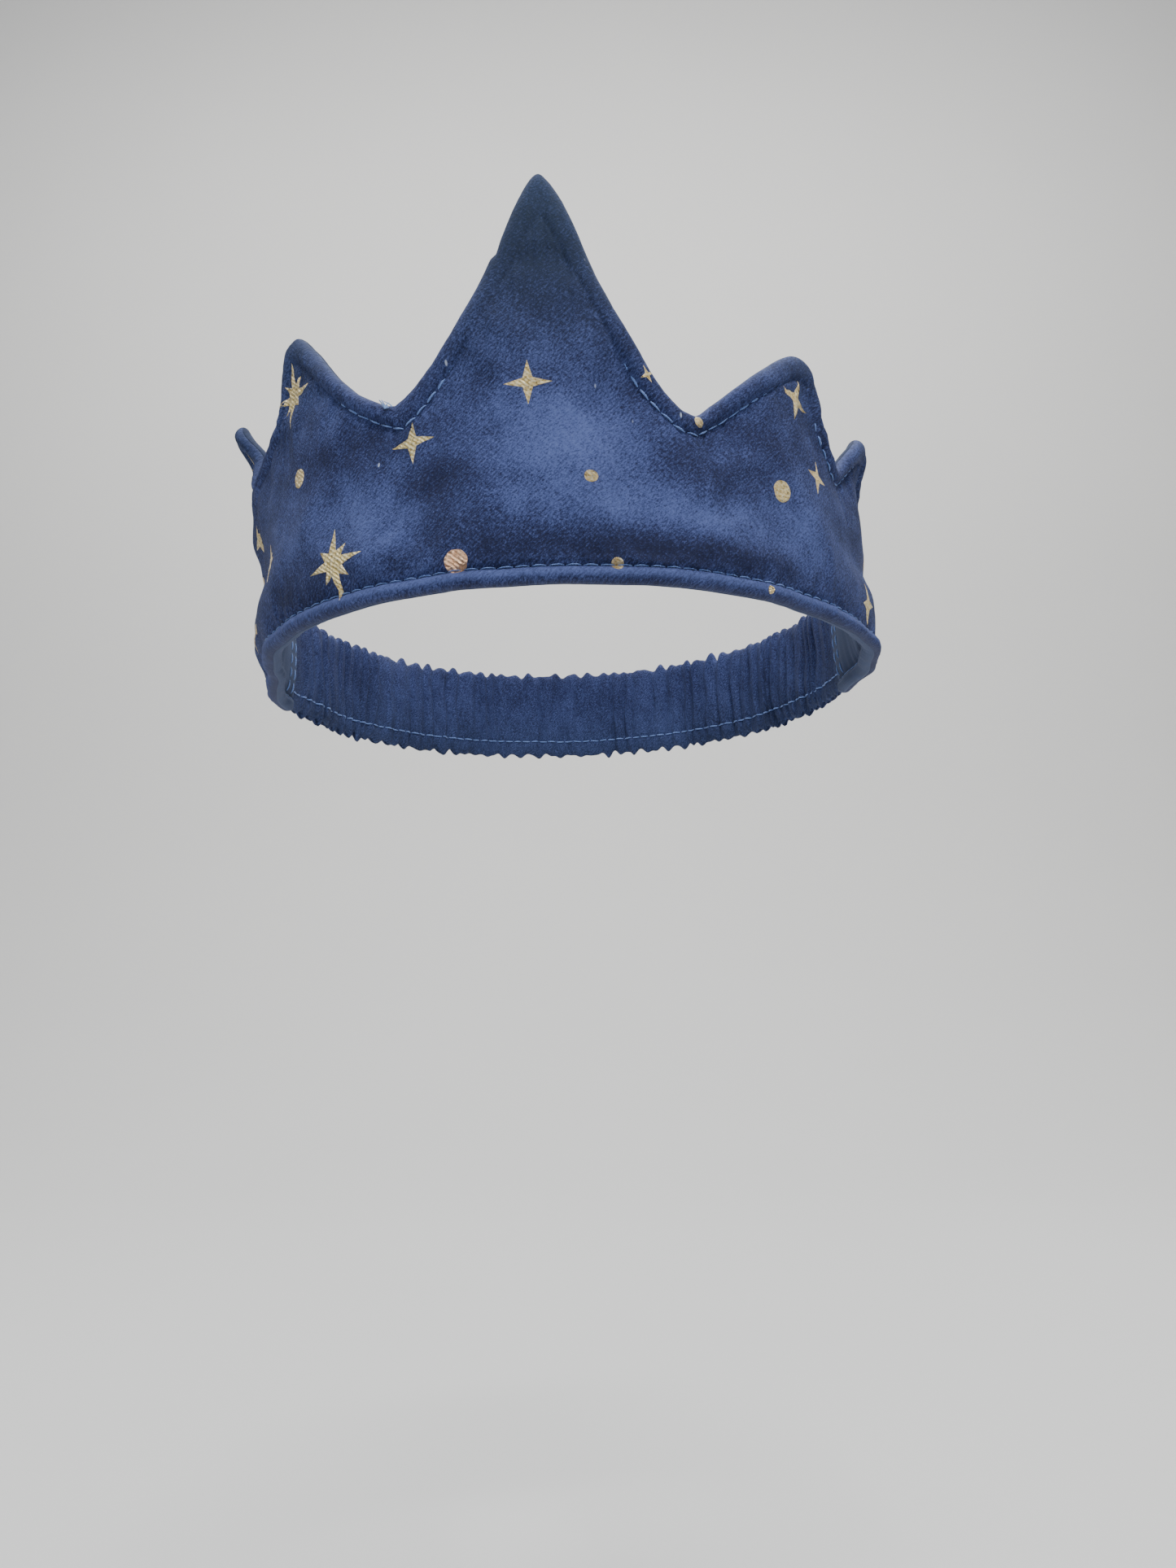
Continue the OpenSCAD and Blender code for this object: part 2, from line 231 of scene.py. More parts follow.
def outline(k, steps):
    """The cut edge (k=0) or the stitch line inside it (k=1), from one end of the panel to the other."""
    def v(x, y):
        return np.array([x, y], float)
    c0 = v(0, CENTRE_H - k * 2.35 * TOP_INSET)
    v1 = v(VALLEY_S, VALLEY_H - k * 0.95 * TOP_INSET)
    p1 = v(SIDE_S - 0.4 * k, SIDE_H - k * 1.65 * TOP_INSET)
    v2 = v(REAR_VALLEY_S + 0.5 * k, REAR_VALLEY_H - k * 0.95 * TOP_INSET)
    p2 = v(REAR_S - 0.4 * k, REAR_H - k * 1.8 * TOP_INSET)
    e = v(END_S, END_H - k * TOP_INSET)
    runs = [
        (c0, c0 + v(4.5 - 1.8 * k, 0), v1 + v(-14.3 - 2.6 * k, 3 + k), v1),
        (v1, v1 + v(6.1 + 0.8 * k, 1.4), p1 + v(-8.1 + 1.2 * k, 0), p1),
        (p1, p1 + v(7 - 2.2 * k, 0), v2 + v(-15.1 - k, 2.4), v2),
        (v2, v2 + v(5 + 0.6 * k, 2.5), p2 + v(-7 + k, 0), p2),
        (p2, p2 + v(6 - 2 * k, 0), e + v(-32 - 2.5 * k, 2), e),
    ]
    half = np.concatenate([bezier(r, n) for r, n in zip(runs, steps)] + [e[None]])
    mirrored = half[:0:-1] * [-1, 1]
    full = np.concatenate([mirrored, half])
    full[:, 1] += skew(full[:, 0])
    return full + settle(full[:, 0], full[:, 1], k)


# how much higher than the pattern the finished edge and stitch line end up: (station along the band, rise)
EDGE_SET = (
    (-124, 0), (-112, 1.0), (-100, 2.5), (-93, -0.5), (-86, -2.5), (-79, -5.5), (-74, -2.5), (-70, -0.5),
    (-66, 0), (-61, 0.7), (-56, -1.4), (-50.5, -2.3), (-45, -2.9), (-40, -2.5), (-35, -0.6), (-30, 0.9),
    (-26.5, 1.3), (-23, 1.6), (-19.5, 1.45), (-16, 0.9), (-12.5, 0.5), (-9.8, 0.9), (-8.6, -0.7), (-7.6, 0.2),
    (-5.4, 0.9), (-1.9, 1.4), (1.4, 1.6), (4.6, 2.7), (7.8, 2.0), (11, 0.3), (14, -0.3), (20, 0),
    (26.8, -1.1), (30, -0.1), (34.5, 1.0), (39.5, 1.2), (44.5, 1.05), (49.5, 0.5), (54.5, 0.3), (59.5, 0.5),
    (66, 0.4), (74, 0.2), (80, 0))
STITCH_SET = (
    (-124, 0), (-112, 1.0), (-100, 2.0), (-93, -1.0), (-86, -2.5), (-79, -5.2), (-74, -2.3), (-70, -0.5),
    (-66, 0), (-61, 0.3), (-56, -1.2), (-50.5, -2.1), (-45, -2.6), (-40, -2.2), (-35, -1.2), (-30, -0.5),
    (-26, 0.5), (-23, 1.2), (-19.5, 1.3), (-16, 0.9), (-12.5, 0.5), (-5, 0.3), (0, 0.3), (5, 0.9), (8, 1.2),
    (11, 0.4), (14, 0), (20, 0), (26.8, -0.5), (30, 0.4), (34.5, 1.0), (39.5, 1.1), (44.5, 1.0), (50, 0.5),
    (60, 0.4), (66, 0.8), (80, 0))

# the rear point on the -X side is pulled back along the band: stations, then mm for the edge and the stitches
PULL_AT = (-124, -112, -100, -93, -86, -78, -70)
PULL = ((0, -2.0, -5.0, -8.0, -10.5, -13.0, 0), (0, -1.4, -5.0, -9.2, -11.8, -13.4, 0))


def settle(s, h, k):
    """How far the sewn line ends up from the pattern's, once the edge has rolled back over the padding."""
    q = np.abs(s)
    facing = np.interp(q, [0, 40, 61, 85, 110, END_S - 8, END_S], [1, 0.9, 0.65, 0.3, 0.2, 0, 0])
    at, up = zip(*(STITCH_SET if k else EDGE_SET))
    rise = np.interp(s, at, up)
    pulled = np.interp(s, PULL_AT, PULL[k])
    left, right = swell(s, -VALLEY_S, VALLEY_REACH), swell(s, VALLEY_S, VALLEY_REACH)
    if k:
        return np.stack([1.5 * left - 0.6 * right + pulled, rise + 0.2 * facing], 1)
    spread = np.sign(s) * np.interp(q, [0, 40, 61, 78, 100, 125, END_S], [0, 0.3, 1.0, 0.6, 0.8, 0.2, 0])
    return np.stack([spread + pulled, rise + 0.0075 * (h + 68) * facing + 0.85 * right], 1)


def ripple(seed, *coords):
    """Smooth repeatable unevenness between about -1 and 1, from a few sines with fixed phases."""
    rng = np.random.default_rng(seed)
    total = 0.0
    for _ in range(7):
        angle = rng.uniform(0.55, 1.6) * 2 * math.pi
        mix = rng.normal(size=len(coords))
        mix = mix / np.linalg.norm(mix)
        total = total + np.sin(sum(m * c for m, c in zip(mix, coords)) * angle + rng.uniform(0, 2 * math.pi))
    return total / 3.2


ROLL_LOW = math.radians(-60)
ROLL_REACH = 1 - math.sin(ROLL_LOW)


def roll_rows(n):
    """Share of the inset and angle for each row of a rolled edge, from the stitches to the seam."""
    angle = np.linspace(ROLL_LOW, math.pi / 2, n)
    return (np.sin(angle) - math.sin(ROLL_LOW)) / ROLL_REACH, angle


def interior_rows(n):
    """Shares across the padded field, closer together towards both stitch lines."""
    x = np.linspace(0, 1, n)
    return 0.45 * x + 0.55 * (0.5 - 0.5 * np.cos(math.pi * x))


def nearest(points, line):
    """Distance from each point to a polyline's points, in blocks to save memory."""
    out = np.empty(len(points))
    for i in range(0, len(points), 4000):
        block = points[i:i + 4000]
        out[i:i + 4000] = np.sqrt(((block[:, None] - line[None]) ** 2).sum(-1)).min(1)
    return out


def run_length(line):
    """Length along a line up to each of its points."""
    return np.concatenate([[0.0], np.cumsum(np.hypot(*np.diff(line, axis=0).T))])


def ease(x):
    """0 below 0, 1 above 1, eased between."""
    x = np.clip(x, 0, 1)
    return x * x * (3 - 2 * x)


def sewn_set(s, h):
    """The slow waves of the finished crown: how far the wall stands out from its plan, in mm."""
    left, right = np.clip((-s - 62) / 30.0, 0, 1), np.clip((s - 62) / 30.0, 0, 1)
    wave = 0.42 * ripple(3, s / 46.0, h / 30.0) + 0.3 * ripple(5, s / 22.0, h / 17.0)
    # the band swells low down, draws in below the valleys and leans back towards the points
    front = np.clip(1.25 - np.abs(s) / 70.0, 0, 1)
    body = 1.4 * swell(h, 12, 8.0) - 1.6 * swell(h, 34, 10.0) + 0.6 * swell(h, 52, 10.0)
    body = body + 1.0 * swell(h, 0, 5.0)
    body = body * front * (1 + 0.35 * ripple(7, s / 24.0, h / 60.0))
    # each side is drawn in across its middle and leans out at its rear point; the rim spreads on the +X side
    # and turns in on the -X side
    hollow = (-3.4 * swell(h, 20, 6.0) - 1.6 * swell(h, 27.5, 4.0) + 1.1 * swell(h, 45, 8.0)) * left
    hollow = hollow - (1.9 * swell(h, 19, 5.5) + 0.75 * swell(h, 33, 6.0)) * right
    rim = (3.2 * right - 1.5 * left) * np.exp(-h / 9.0) - 2.2 * swell(s, -106, 11.0) * swell(h, 0, 9.0)
    rear = 5.6 * ease((h - 52) / 11.0) * left + 2.4 * ease((h - 38) / 12.0) * right
    # both ends lie flat on the elastic
    return (wave + body + hollow + rim + rear) * (1 - ease((np.abs(s) - 114.0) / 17.0))


# painted light and shade on the brushed face, partly the nap brushed up (lighter) or pressed down (darker):
# lit patches across the middle, painted shade above the lower roll, under the valleys and on the centre
# point; s, h, reach along s, reach along h, amount
PAINTED_LIGHT_AND_NAP = (
    (5, 24, 18, 10, 0.85), (24, 13.5, 22, 4.5, 0.6), (-39, 18, 12, 9, 0.45), (-30, 14, 8, 5, 0.35),
    (57, 18, 6, 12, 0.45), (3, 33, 8, 4, 0.35), (-62, 22, 8, 10, 0.2), (-21, 21, 8, 8, -0.8),
    (-40, 33, 12, 5, -0.6), (29, 24, 10, 5, -0.6), (22, 6.5, 30, 3.0, -0.9), (-9, 9, 9, 4, -0.5),
    (-58, 7, 14, 4, -0.35), (44, 33, 10, 5, -0.35), (0, 66, 14, 12, -0.5))


def painted_light_and_nap(s, h):
    """Painted light and shade on the brushed face, partly the nap's lie: lighter and darker areas, from about
    -1 to 1.
    """
    total = 0.12 * ripple(91, s / 13.0, h / 9.0)
    for s0, h0, along, up, amount in PAINTED_LIGHT_AND_NAP:
        total = total + 0.9 * amount * swell(s, s0, along) * swell(h, h0, up)
    return total


def stitch_holes(along, pitch):
    """Pull of a row of stitches along its length: 0 to 1 once a stitch, with a whole number of stitches."""
    even = along[-1] / round(along[-1] / pitch)
    return 0.5 - 0.5 * np.cos(2 * math.pi * along / even)


def uneven_roll(seed, along):
    """How fat a rolled edge is along its length, as a share of its radius."""
    return 1 + 0.05 * ripple(seed, along / 9.0) + 0.035 * ripple(seed + 1, along / 3.3)


def small_gathers(seed, along):
    """Uneven puckers beside a row of stitches, from about -1.6 to 1.6."""
    return ripple(seed, along / 5.0) + 0.6 * ripple(seed + 1, along / 2.1)


def panel_grid(steps, rows, inside, cloth):
    """Flat places and depths for one layer. inside is the padding's push, None for a plain guess."""
    edge, stitch = outline(0, steps), outline(1, steps)
    n = len(edge)
    base = np.stack([stitch[:, 0], np.full(n, BOTTOM_INSET)], 1)
    along_top, along_low = run_length(stitch), run_length(base)
    share, angle = roll_rows(ROLL_ROWS)
    mid = PANEL_T / 2
    seed, roll, pucker = cloth["seed"], cloth["roll"], cloth["pucker"]
    flat, depth = [], []
    hole_top, hole_low = stitch_holes(along_top, cloth["pitch"]), stitch_holes(along_low, cloth["pitch"])
    roll_low, roll_top = uneven_roll(seed + 11, along_low), uneven_roll(seed + 13, along_top)
    groove = mid - roll * math.cos(ROLL_LOW)
    # the padding fills the groove on the points
    pressed = 0.75 * ease((stitch[:, 1] - 38.0) / 16.0)
    # lower roll, from the seam up to the stitches
    for q, a in list(zip(share, angle))[::-1][:-1]:
        fade = math.exp(-q * 3.0)
        flat.append(base - np.array([0, 1.0]) * (BOTTOM_INSET * q))
        depth.append(mid - roll * math.cos(a) * roll_low + pucker * 0.9 * hole_low * fade)
    # the padded field
    field = interior_rows(rows)
    for f in field:
        flat.append(base + (stitch - base) * f)
    block = np.array(flat[-rows:])
    points = block.reshape(-1, 2)
    to_top = nearest(points, stitch).reshape(rows, n)
    to_low = points[:, 1].reshape(rows, n) - BOTTOM_INSET
    near = np.minimum(to_top, to_low)
    dip = np.minimum(groove * ((1 - pressed) * np.exp(-to_top / 1.7) + np.exp(-to_low / 1.7)), groove)
    gathers = (pucker * np.exp(-to_top / 4.5) * small_gathers(seed, along_top)
               + pucker * np.exp(-to_low / 4.5) * small_gathers(seed + 2, along_low))
    gathers = gathers * np.clip(near / 1.2, 0, 1)
    holes = pucker * 0.9 * (np.exp(-to_top / 0.9) * hole_top + np.exp(-to_low / 0.9) * hole_low)
    if inside is None:
        push = cloth["puff"] * (1 - np.exp(-(near / 6.0) ** 1.6))
    else:
        push = inside(field, n)
    depth += list(dip + holes + gathers - push)
    # upper roll, from the stitches to the seam
    for q, a in list(zip(share, angle))[1:]:
        fade = math.exp(-q * 3.0)
        flat.append(stitch + (edge - stitch) * q)
        depth.append(mid - roll * math.cos(a) * roll_top + pucker * 0.9 * hole_top * fade
                     - groove * pressed * (1 - q) ** 2)
    flat, depth = np.array(flat), np.array(depth)
    # the panel's ends are folded in before they are stitched over the elastic
    over = np.clip((np.abs(flat[..., 0]) - (END_S - FOLD_WIDTH)) / FOLD_WIDTH, 0, 1)
    fold = 1 - np.sqrt(np.clip(1 - over ** 2, 0, 1))
    depth = depth + fold * np.maximum(0.0, FOLD_DEPTH - depth)
    return flat, depth, stitch, base


def grid_faces(nr, nc, offset=0, flip=False):
    """Quads of a grid whose points run row by row."""
    r, c = np.meshgrid(np.arange(nr - 1), np.arange(nc - 1), indexing="ij")
    a = (r * nc + c).ravel() + offset
    quads = np.stack([a, a + 1, a + nc + 1, a + nc], 1)
    return quads[:, ::-1] if flip else quads


def sheet_faces(nr, nc):
    """Faces of a closed sheet: a front grid, a back grid that follows it, and the strip round their rims."""
    m = nr * nc
    ring = np.concatenate([np.arange(nc), np.arange(1, nr) * nc + nc - 1,
                           (nr - 1) * nc + np.arange(nc - 2, -1, -1), np.arange(nr - 2, 0, -1) * nc])
    after = np.roll(ring, -1)
    rim = np.stack([ring, ring + m, after + m, after], 1)
    return np.concatenate([grid_faces(nr, nc), grid_faces(nr, nc, m, True), rim])


def flat_uv(flat):
    """Flat millimetres as the cloth's own map."""
    return np.stack([(flat[..., 0] + FLAT_S0) / FLAT_SPAN, (flat[..., 1] + FLAT_H0) / FLAT_SPAN], -1)


def add_object(name, data):
    """A new object in the scene."""
    ob = bpy.data.objects.new(name, data)
    bpy.context.scene.collection.objects.link(ob)
    return ob


def add_solid(name, verts, faces):
    """A smooth object from a short list of points and faces."""
    mesh = bpy.data.meshes.new(name)
    mesh.from_pydata(verts, [], faces)
    for face in mesh.polygons:
        face.use_smooth = True
    return add_object(name, mesh)


def new_mesh_object(name, verts, faces, uv=None):
    """A smooth object from arrays of points and faces, all with the same number of corners."""
    mesh = bpy.data.meshes.new(name)
    faces = np.asarray(faces)
    mesh.vertices.add(len(verts))
    mesh.vertices.foreach_set("co", np.asarray(verts, np.float32).ravel())
    k = faces.shape[1]
    mesh.loops.add(len(faces) * k)
    mesh.loops.foreach_set("vertex_index", faces.astype(np.int32).ravel())
    mesh.polygons.add(len(faces))
    mesh.polygons.foreach_set("loop_start", np.arange(0, len(faces) * k, k, dtype=np.int32))
    mesh.update(calc_edges=True)
    if uv is not None:
        layer = mesh.uv_layers.new(name="flat")
        layer.data.foreach_set("uv", np.asarray(uv, np.float32)[faces.ravel()].ravel())
    mesh.polygons.foreach_set("use_smooth", np.full(len(faces), True))
    mesh.validate()
    return add_object(name, mesh)


def grid_normals(p):
    """Unit normals of a grid of points, pointing to the side the faces of grid_faces look at."""
    du = np.gradient(p, axis=1)
    dv = np.gradient(p, axis=0)
    n = np.cross(du, dv)
    return n / np.maximum(np.linalg.norm(n, axis=-1, keepdims=True), 1e-12)


def closed_sheet(name, grid, uv, thickness, flip=False):
    """A grid of points made into a closed piece of cloth of the given thickness in metres."""
    nr, nc = grid.shape[:2]
    n = grid_normals(grid) * (-1 if flip else 1)
    back = grid - n * thickness
    verts = np.concatenate([grid.reshape(-1, 3), back.reshape(-1, 3)])
    faces = sheet_faces(nr, nc)
    if flip:
        faces = faces[:, ::-1]
    uvs = np.concatenate([uv.reshape(-1, 2)] * 2)
    return new_mesh_object(name, verts, faces, uvs)


# ---------------------------------------------------------------- padding by cloth simulation
def simulate_padding(cloth):
    """Blows the cloth out between its stitch lines and returns a lookup of the push at any row and column."""
    plain = dict(cloth, pucker=0.0)
    flat, depth, _, _ = panel_grid(SIM_STEPS, SIM_ROWS, lambda field, n: np.zeros((SIM_ROWS, n)), plain)
    inner = slice(FIELD_START, FIELD_START + SIM_ROWS)
    flat, depth = flat[inner], depth[inner]
    rest = lay(flat, depth)
    nr, nc = rest.shape[:2]
    ob = new_mesh_object("padding_trial", rest.reshape(-1, 3), grid_faces(nr, nc))
    group = ob.vertex_groups.new(name="sewn")
    idx = np.arange(nr * nc).reshape(nr, nc)
    pinned = np.unique(np.concatenate([idx[0], idx[-1], idx[:, 0], idx[:, -1]]))
    group.add([int(i) for i in pinned], 1.0, "REPLACE")
    mod = ob.modifiers.new("Cloth", "CLOTH")
    s = mod.settings
    s.quality = 6
    s.mass = 0.2
    s.vertex_group_mass = "sewn"
    s.tension_stiffness, s.compression_stiffness = 22, 12
    s.shear_stiffness, s.bending_stiffness = 6, 0.35
    s.use_pressure = True
    s.uniform_pressure_force = PADDING_PRESSURE
    s.shrink_min = -CLOTH_EASE
    s.effector_weights.gravity = 0.0
    mod.collision_settings.use_collision = False
    scene = bpy.context.scene
    last_frame = 20
    mod.point_cache.frame_start, mod.point_cache.frame_end = 1, last_frame
    for f in range(1, last_frame + 1):
        scene.frame_set(f)
    got = ob.evaluated_get(bpy.context.evaluated_depsgraph_get()).to_mesh()
    co = np.empty(len(got.vertices) * 3, np.float32)
    got.vertices.foreach_get("co", co)
    moved = co.reshape(nr, nc, 3) - rest
    scene.frame_set(1)
    bpy.data.objects.remove(ob)
    out = lay(flat, depth - 1.0) - rest
    out = out / np.linalg.norm(out, axis=-1, keepdims=True)
    push = (moved * out).sum(-1) / MM
    # scaled so that nearly all of the field stays within the padding's height
    push = push * (cloth["puff"] * 1.15 / max(np.percentile(push, 97), 1e-6))
    push = np.clip(push, -0.5, cloth["puff"] * 1.6)
    x_sim, c_sim = interior_rows(SIM_ROWS), np.linspace(0, 1, nc)

    def look(field, n):
        c = np.linspace(0, 1, n)
        cols = np.stack([np.interp(c, c_sim, r) for r in push])
        return np.stack([np.interp(field, x_sim, cols[:, j]) for j in range(n)], 1)
    return look


# ---------------------------------------------------------------- shader helpers
class Val:
    """A shader value that takes part in Python sums and products."""

    def __init__(self, finish, socket):
        self.finish, self.socket = finish, socket

    def _math(self, operation, *values):
        """One maths node fed with the given values."""
        n = self.finish.tree.nodes.new("ShaderNodeMath")
        n.operation = operation
        for i, v in enumerate(values):
            self.finish.feed(n.inputs[i], v)
        return Val(self.finish, n.outputs[0])

    def __add__(self, other):
        return self._math("ADD", self, other)

    def __radd__(self, other):
        return self._math("ADD", other, self)

    def __sub__(self, other):
        return self._math("SUBTRACT", self, other)

    def __rsub__(self, other):
        return self._math("SUBTRACT", other, self)

    def __mul__(self, other):
        return self._math("MULTIPLY", self, other)

    def __gt__(self, other):
        return self._math("GREATER_THAN", self, other)

    def sin(self):
        return self._math("SINE", self)

    def clip(self):
        """The value kept between 0 and 1."""
        out = self._math("ADD", self, 0.0)
        out.socket.node.use_clamp = True
        return out

    def smooth(self, low, high):
        """0 below low, 1 above high, eased between."""
        return self.finish.node("ShaderNodeMapRange", {"interpolation_type": "SMOOTHSTEP"},
                                {"Value": self, "From Min": low, "From Max": high})


class Finish:
    """A material built from Python expressions. Underscores in the names stand for spaces in the sockets."""

    def __init__(self, name, **constants):
        self.mat = bpy.data.materials.new(name)
        self.mat.use_nodes = True
        self.tree = self.mat.node_tree
        self.shader = self.tree.nodes["Principled BSDF"]
        for k, v in constants.items():
            self.shader.inputs[k.replace("_", " ")].default_value = v

    def feed(self, socket, v):
        """Links a shader value to a socket, or sets a number or a colour on it."""
        if isinstance(v, Val):
            self.tree.links.new(v.socket, socket)
        elif socket.type == "RGBA" and len(v) == 3:
            socket.default_value = (*v, 1.0)
        else:
            socket.default_value = v

    def node(self, kind, settings=None, inputs=None, out=0):
        n = self.tree.nodes.new(kind)
        for k, v in (settings or {}).items():
            setattr(n, k, v)
        for k, v in (inputs or {}).items():
            self.feed(n.inputs[k], v)
        return Val(self, n.outputs[out])

    def mix(self, factor, a, b):
        n = self.tree.nodes.new("ShaderNodeMix")
        n.data_type = "RGBA"
        for i, v in ((0, factor), (6, a), (7, b)):
            self.feed(n.inputs[i], v)
        return Val(self, n.outputs[2])

    def noise(self, vector, scale, detail=2.0, rough=0.5, distort=0.0):
        return self.node("ShaderNodeTexNoise", {}, {"Vector": vector, "Scale": scale, "Detail": detail,
                                                    "Roughness": rough, "Distortion": distort})

    def flat_mm(self):
        """The cloth's own flat pattern, in millimetres."""
        uv = self.node("ShaderNodeUVMap", {"uv_map": "flat"})
        return self.node("ShaderNodeVectorMath", {"operation": "SCALE"}, {"Vector": uv, "Scale": FLAT_SPAN})

    def object_mm(self):
        """Places in the object, in millimetres."""
        co = self.node("ShaderNodeTexCoord", {}, {}, 3)
        return self.node("ShaderNodeVectorMath", {"operation": "SCALE"}, {"Vector": co, "Scale": 1000.0})

    def stretch(self, vector, scale, turn=0.0):
        sizes = {"Vector": vector, "Scale": scale, "Rotation": (0, 0, turn)}
        return self.node("ShaderNodeMapping", {}, sizes)

    def attribute(self, name):
        """A number kept on the mesh's points."""
        return self.node("ShaderNodeAttribute", {"attribute_name": name}, {}, 2)

    def axes(self, vector):
        n = self.tree.nodes.new("ShaderNodeSeparateXYZ")
        self.feed(n.inputs[0], vector)
        return [Val(self, o) for o in n.outputs]

    def bump(self, height, distance, strength=1.0):
        return self.node("ShaderNodeBump", {}, {"Height": height, "Distance": distance, "Strength": strength})

    def out(self, **sockets):
        """Feeds the shader and gives the finished material."""
        for k, v in sockets.items():
            self.feed(self.shader.inputs[k.replace("_", " ")], v)
        return self.mat


def twill(f, p, spacing):
    """Raised diagonal ribs of the weave, broken into single yarns, from 0 to 1."""
    drift = f.noise(p, 0.35, 2.0)
    x, y, _ = f.axes(p)
    rib = ((x * 0.62 + y * 0.78 + drift * 0.5) * (2 * math.pi / spacing)).sin() * 0.5 + 0.5
    yarn = ((x * 0.95 - y * 0.30) * (2 * math.pi / (spacing * 1.25)) + rib * 1.4).sin() * 0.5 + 0.5
    return rib * 0.7 + yarn * 0.3


def brushed_cotton(name, deep, navy, light, nap=1.0, lint=True):
    """Navy cotton with a short brushed nap: deep between the fibres, light where they catch the light."""
    f = Finish(name, Roughness=0.9, Sheen_Weight=0.05, Sheen_Roughness=0.35,
               Sheen_Tint=(0.55, 0.68, 1.0, 1.0), Specular_IOR_Level=0.17)
    p = f.flat_mm()
    up = f.axes(p)[1]
    cloud = f.noise(p, 0.045, 2.0, 0.5)
    patch = f.noise(f.stretch(p, (1.0, 0.8, 1.0), 0.5), 0.24, 4.0, 0.62, 0.3)
    brushed = f.stretch(f.stretch(p, (1.0, 1.0, 1.0), -0.75), (0.62, 1.5, 1.0))
    grain = f.noise(brushed, 1.7, 5.0, 0.8, 0.2)
    speck = f.noise(p, 3.3, 3.0, 0.7)
    weave = twill(f, p, TWILL_SPACING)
    # painted light and shade, partly the nap's lie: it lightens and darkens the tone below
    painted_light_and_nap_tone = f.attribute("nap")
    tone = painted_light_and_nap_tone * 0.22 + cloud * 0.22 + patch * 0.24 + 0.06 + grain * 1.32 + speck * 0.60 + weave * 0.04
    base = f.mix((tone * 2.6 - 2.72).clip(), deep, navy)
    base = f.mix((tone * 2.4 - 2.9).clip() * nap, base, light)
    # painted light: the lit patches are speckled with the nap colour
    base = f.mix((painted_light_and_nap_tone * 1.1).clip() * (grain * 2.6 + patch * 1.6 - 1.65).clip() * 0.4, base, light)
    # painted light on the rolled edges: the front of the lower roll and the outer rim of the upper roll are
    # lightened towards the nap colour, and the lower roll's underside is painted shade
    edge = f.attribute("rolled_edge_painted_shading")
    base = f.mix((edge * 0.85).clip() * (grain * 1.5 - 0.25).clip(), base, light)
    base = f.mix((edge * -1.0).clip() * 0.75, base, deep)
    # painted shade: the points are painted a little duller and greener than the band
    high = up.smooth(FLAT_H0 + 34.0, FLAT_H0 + 82.0)
    base = f.mix(high * 0.6, base, tuple(c * m for c, m in zip(navy, (0.55, 0.85, 0.42))))
    # a few pale fibres lie on the face, clear of the rolled edges
    if lint:
        cell = f.tree.nodes.new("ShaderNodeTexVoronoi")
        f.feed(cell.inputs["Vector"], f.stretch(p, (1.0, 0.45, 1.0), 1.1))
        cell.inputs["Scale"].default_value = 0.2
        near = Val(f, cell.outputs["Distance"])
        pick = f.axes(Val(f, cell.outputs["Color"]))[0]
        fluff = (0.06 - near).smooth(0.0, 0.03) * (pick > 0.5) * (1.0 - edge * 8.0).clip()
        base = f.mix(fluff * 0.75, base, (0.50, 0.57, 0.72))
    height = grain * 1.2 + speck * 0.8 + weave * 0.13 + patch * 0.5
    return f.out(Base_Color=base, Roughness=0.56 + grain * 0.2, Normal=f.bump(height, 0.0004, 0.7))


def lining_cotton(name, deep, navy):
    """Plain woven navy cotton without a nap."""
    f = Finish(name, Roughness=0.85, Sheen_Weight=0.2, Sheen_Roughness=0.5,
               Sheen_Tint=(0.5, 0.62, 1.0, 1.0), Specular_IOR_Level=0.3)
    p = f.flat_mm()
    x, y, _ = f.axes(p)
    yarn = 2 * math.pi / 0.5
    over = (x * yarn).sin() * (y * yarn).sin() * 0.5 + 0.5
    patch = f.noise(p, 0.3, 4.0, 0.6)
    slub = f.noise(f.stretch(p, (0.25, 2.2, 1.0)), 0.9, 3.0, 0.6)
    tone = patch * 0.6 + slub * 0.5 + over * 0.3
    base = f.mix((tone * 1.5 - 0.55).clip(), deep, navy)
    return f.out(Base_Color=base, Roughness=0.78 + patch * 0.16,
                 Normal=f.bump(over * 0.6 + slub * 0.7, 0.0002, 0.6))


def printed_foil(name, gold, rose, deep):
    """Metal foil pressed on the cloth: crinkled, and worn through to the cloth on the weave's high spots."""
    f = Finish(name, Roughness=0.34, Specular_IOR_Level=0.5)
    p = f.flat_mm()
    tone = f.attribute("tone")
    weave = twill(f, p, TWILL_SPACING)
    crinkle = f.noise(f.stretch(p, (1.0, 1.6, 1.0), 0.9), 1.1, 4.0, 0.65, 0.5)
    grain = f.noise(p, 4.2, 3.0, 0.7)
    base = f.mix(tone.clip(), gold, rose)
    # painted glints: the crinkles' high spots are painted near white
    base = f.mix((crinkle * 5.0 - 2.6 + weave * 0.8).clip() * (0.85 - tone * 0.55), base, (1.0, 0.95, 0.72))
    # painted shade: the crinkles' hollows are painted dark brown
    base = f.mix((2.55 - crinkle * 5.6).clip() * 0.65, base, (0.30, 0.20, 0.06))
    worn = (grain * 0.62 + weave * 0.3 + f.noise(p, 1.7, 2.0) * 0.5).smooth(0.86, 0.93)
    base = f.mix(worn * 0.8, base, deep)
    height = weave * 0.5 + grain * 0.5 + crinkle * 1.4
    return f.out(Base_Color=base, Metallic=1.0 - worn, Roughness=0.16 + crinkle * 0.32 + worn * 0.4,
                 Normal=f.bump(height, 0.0006, 1.0))


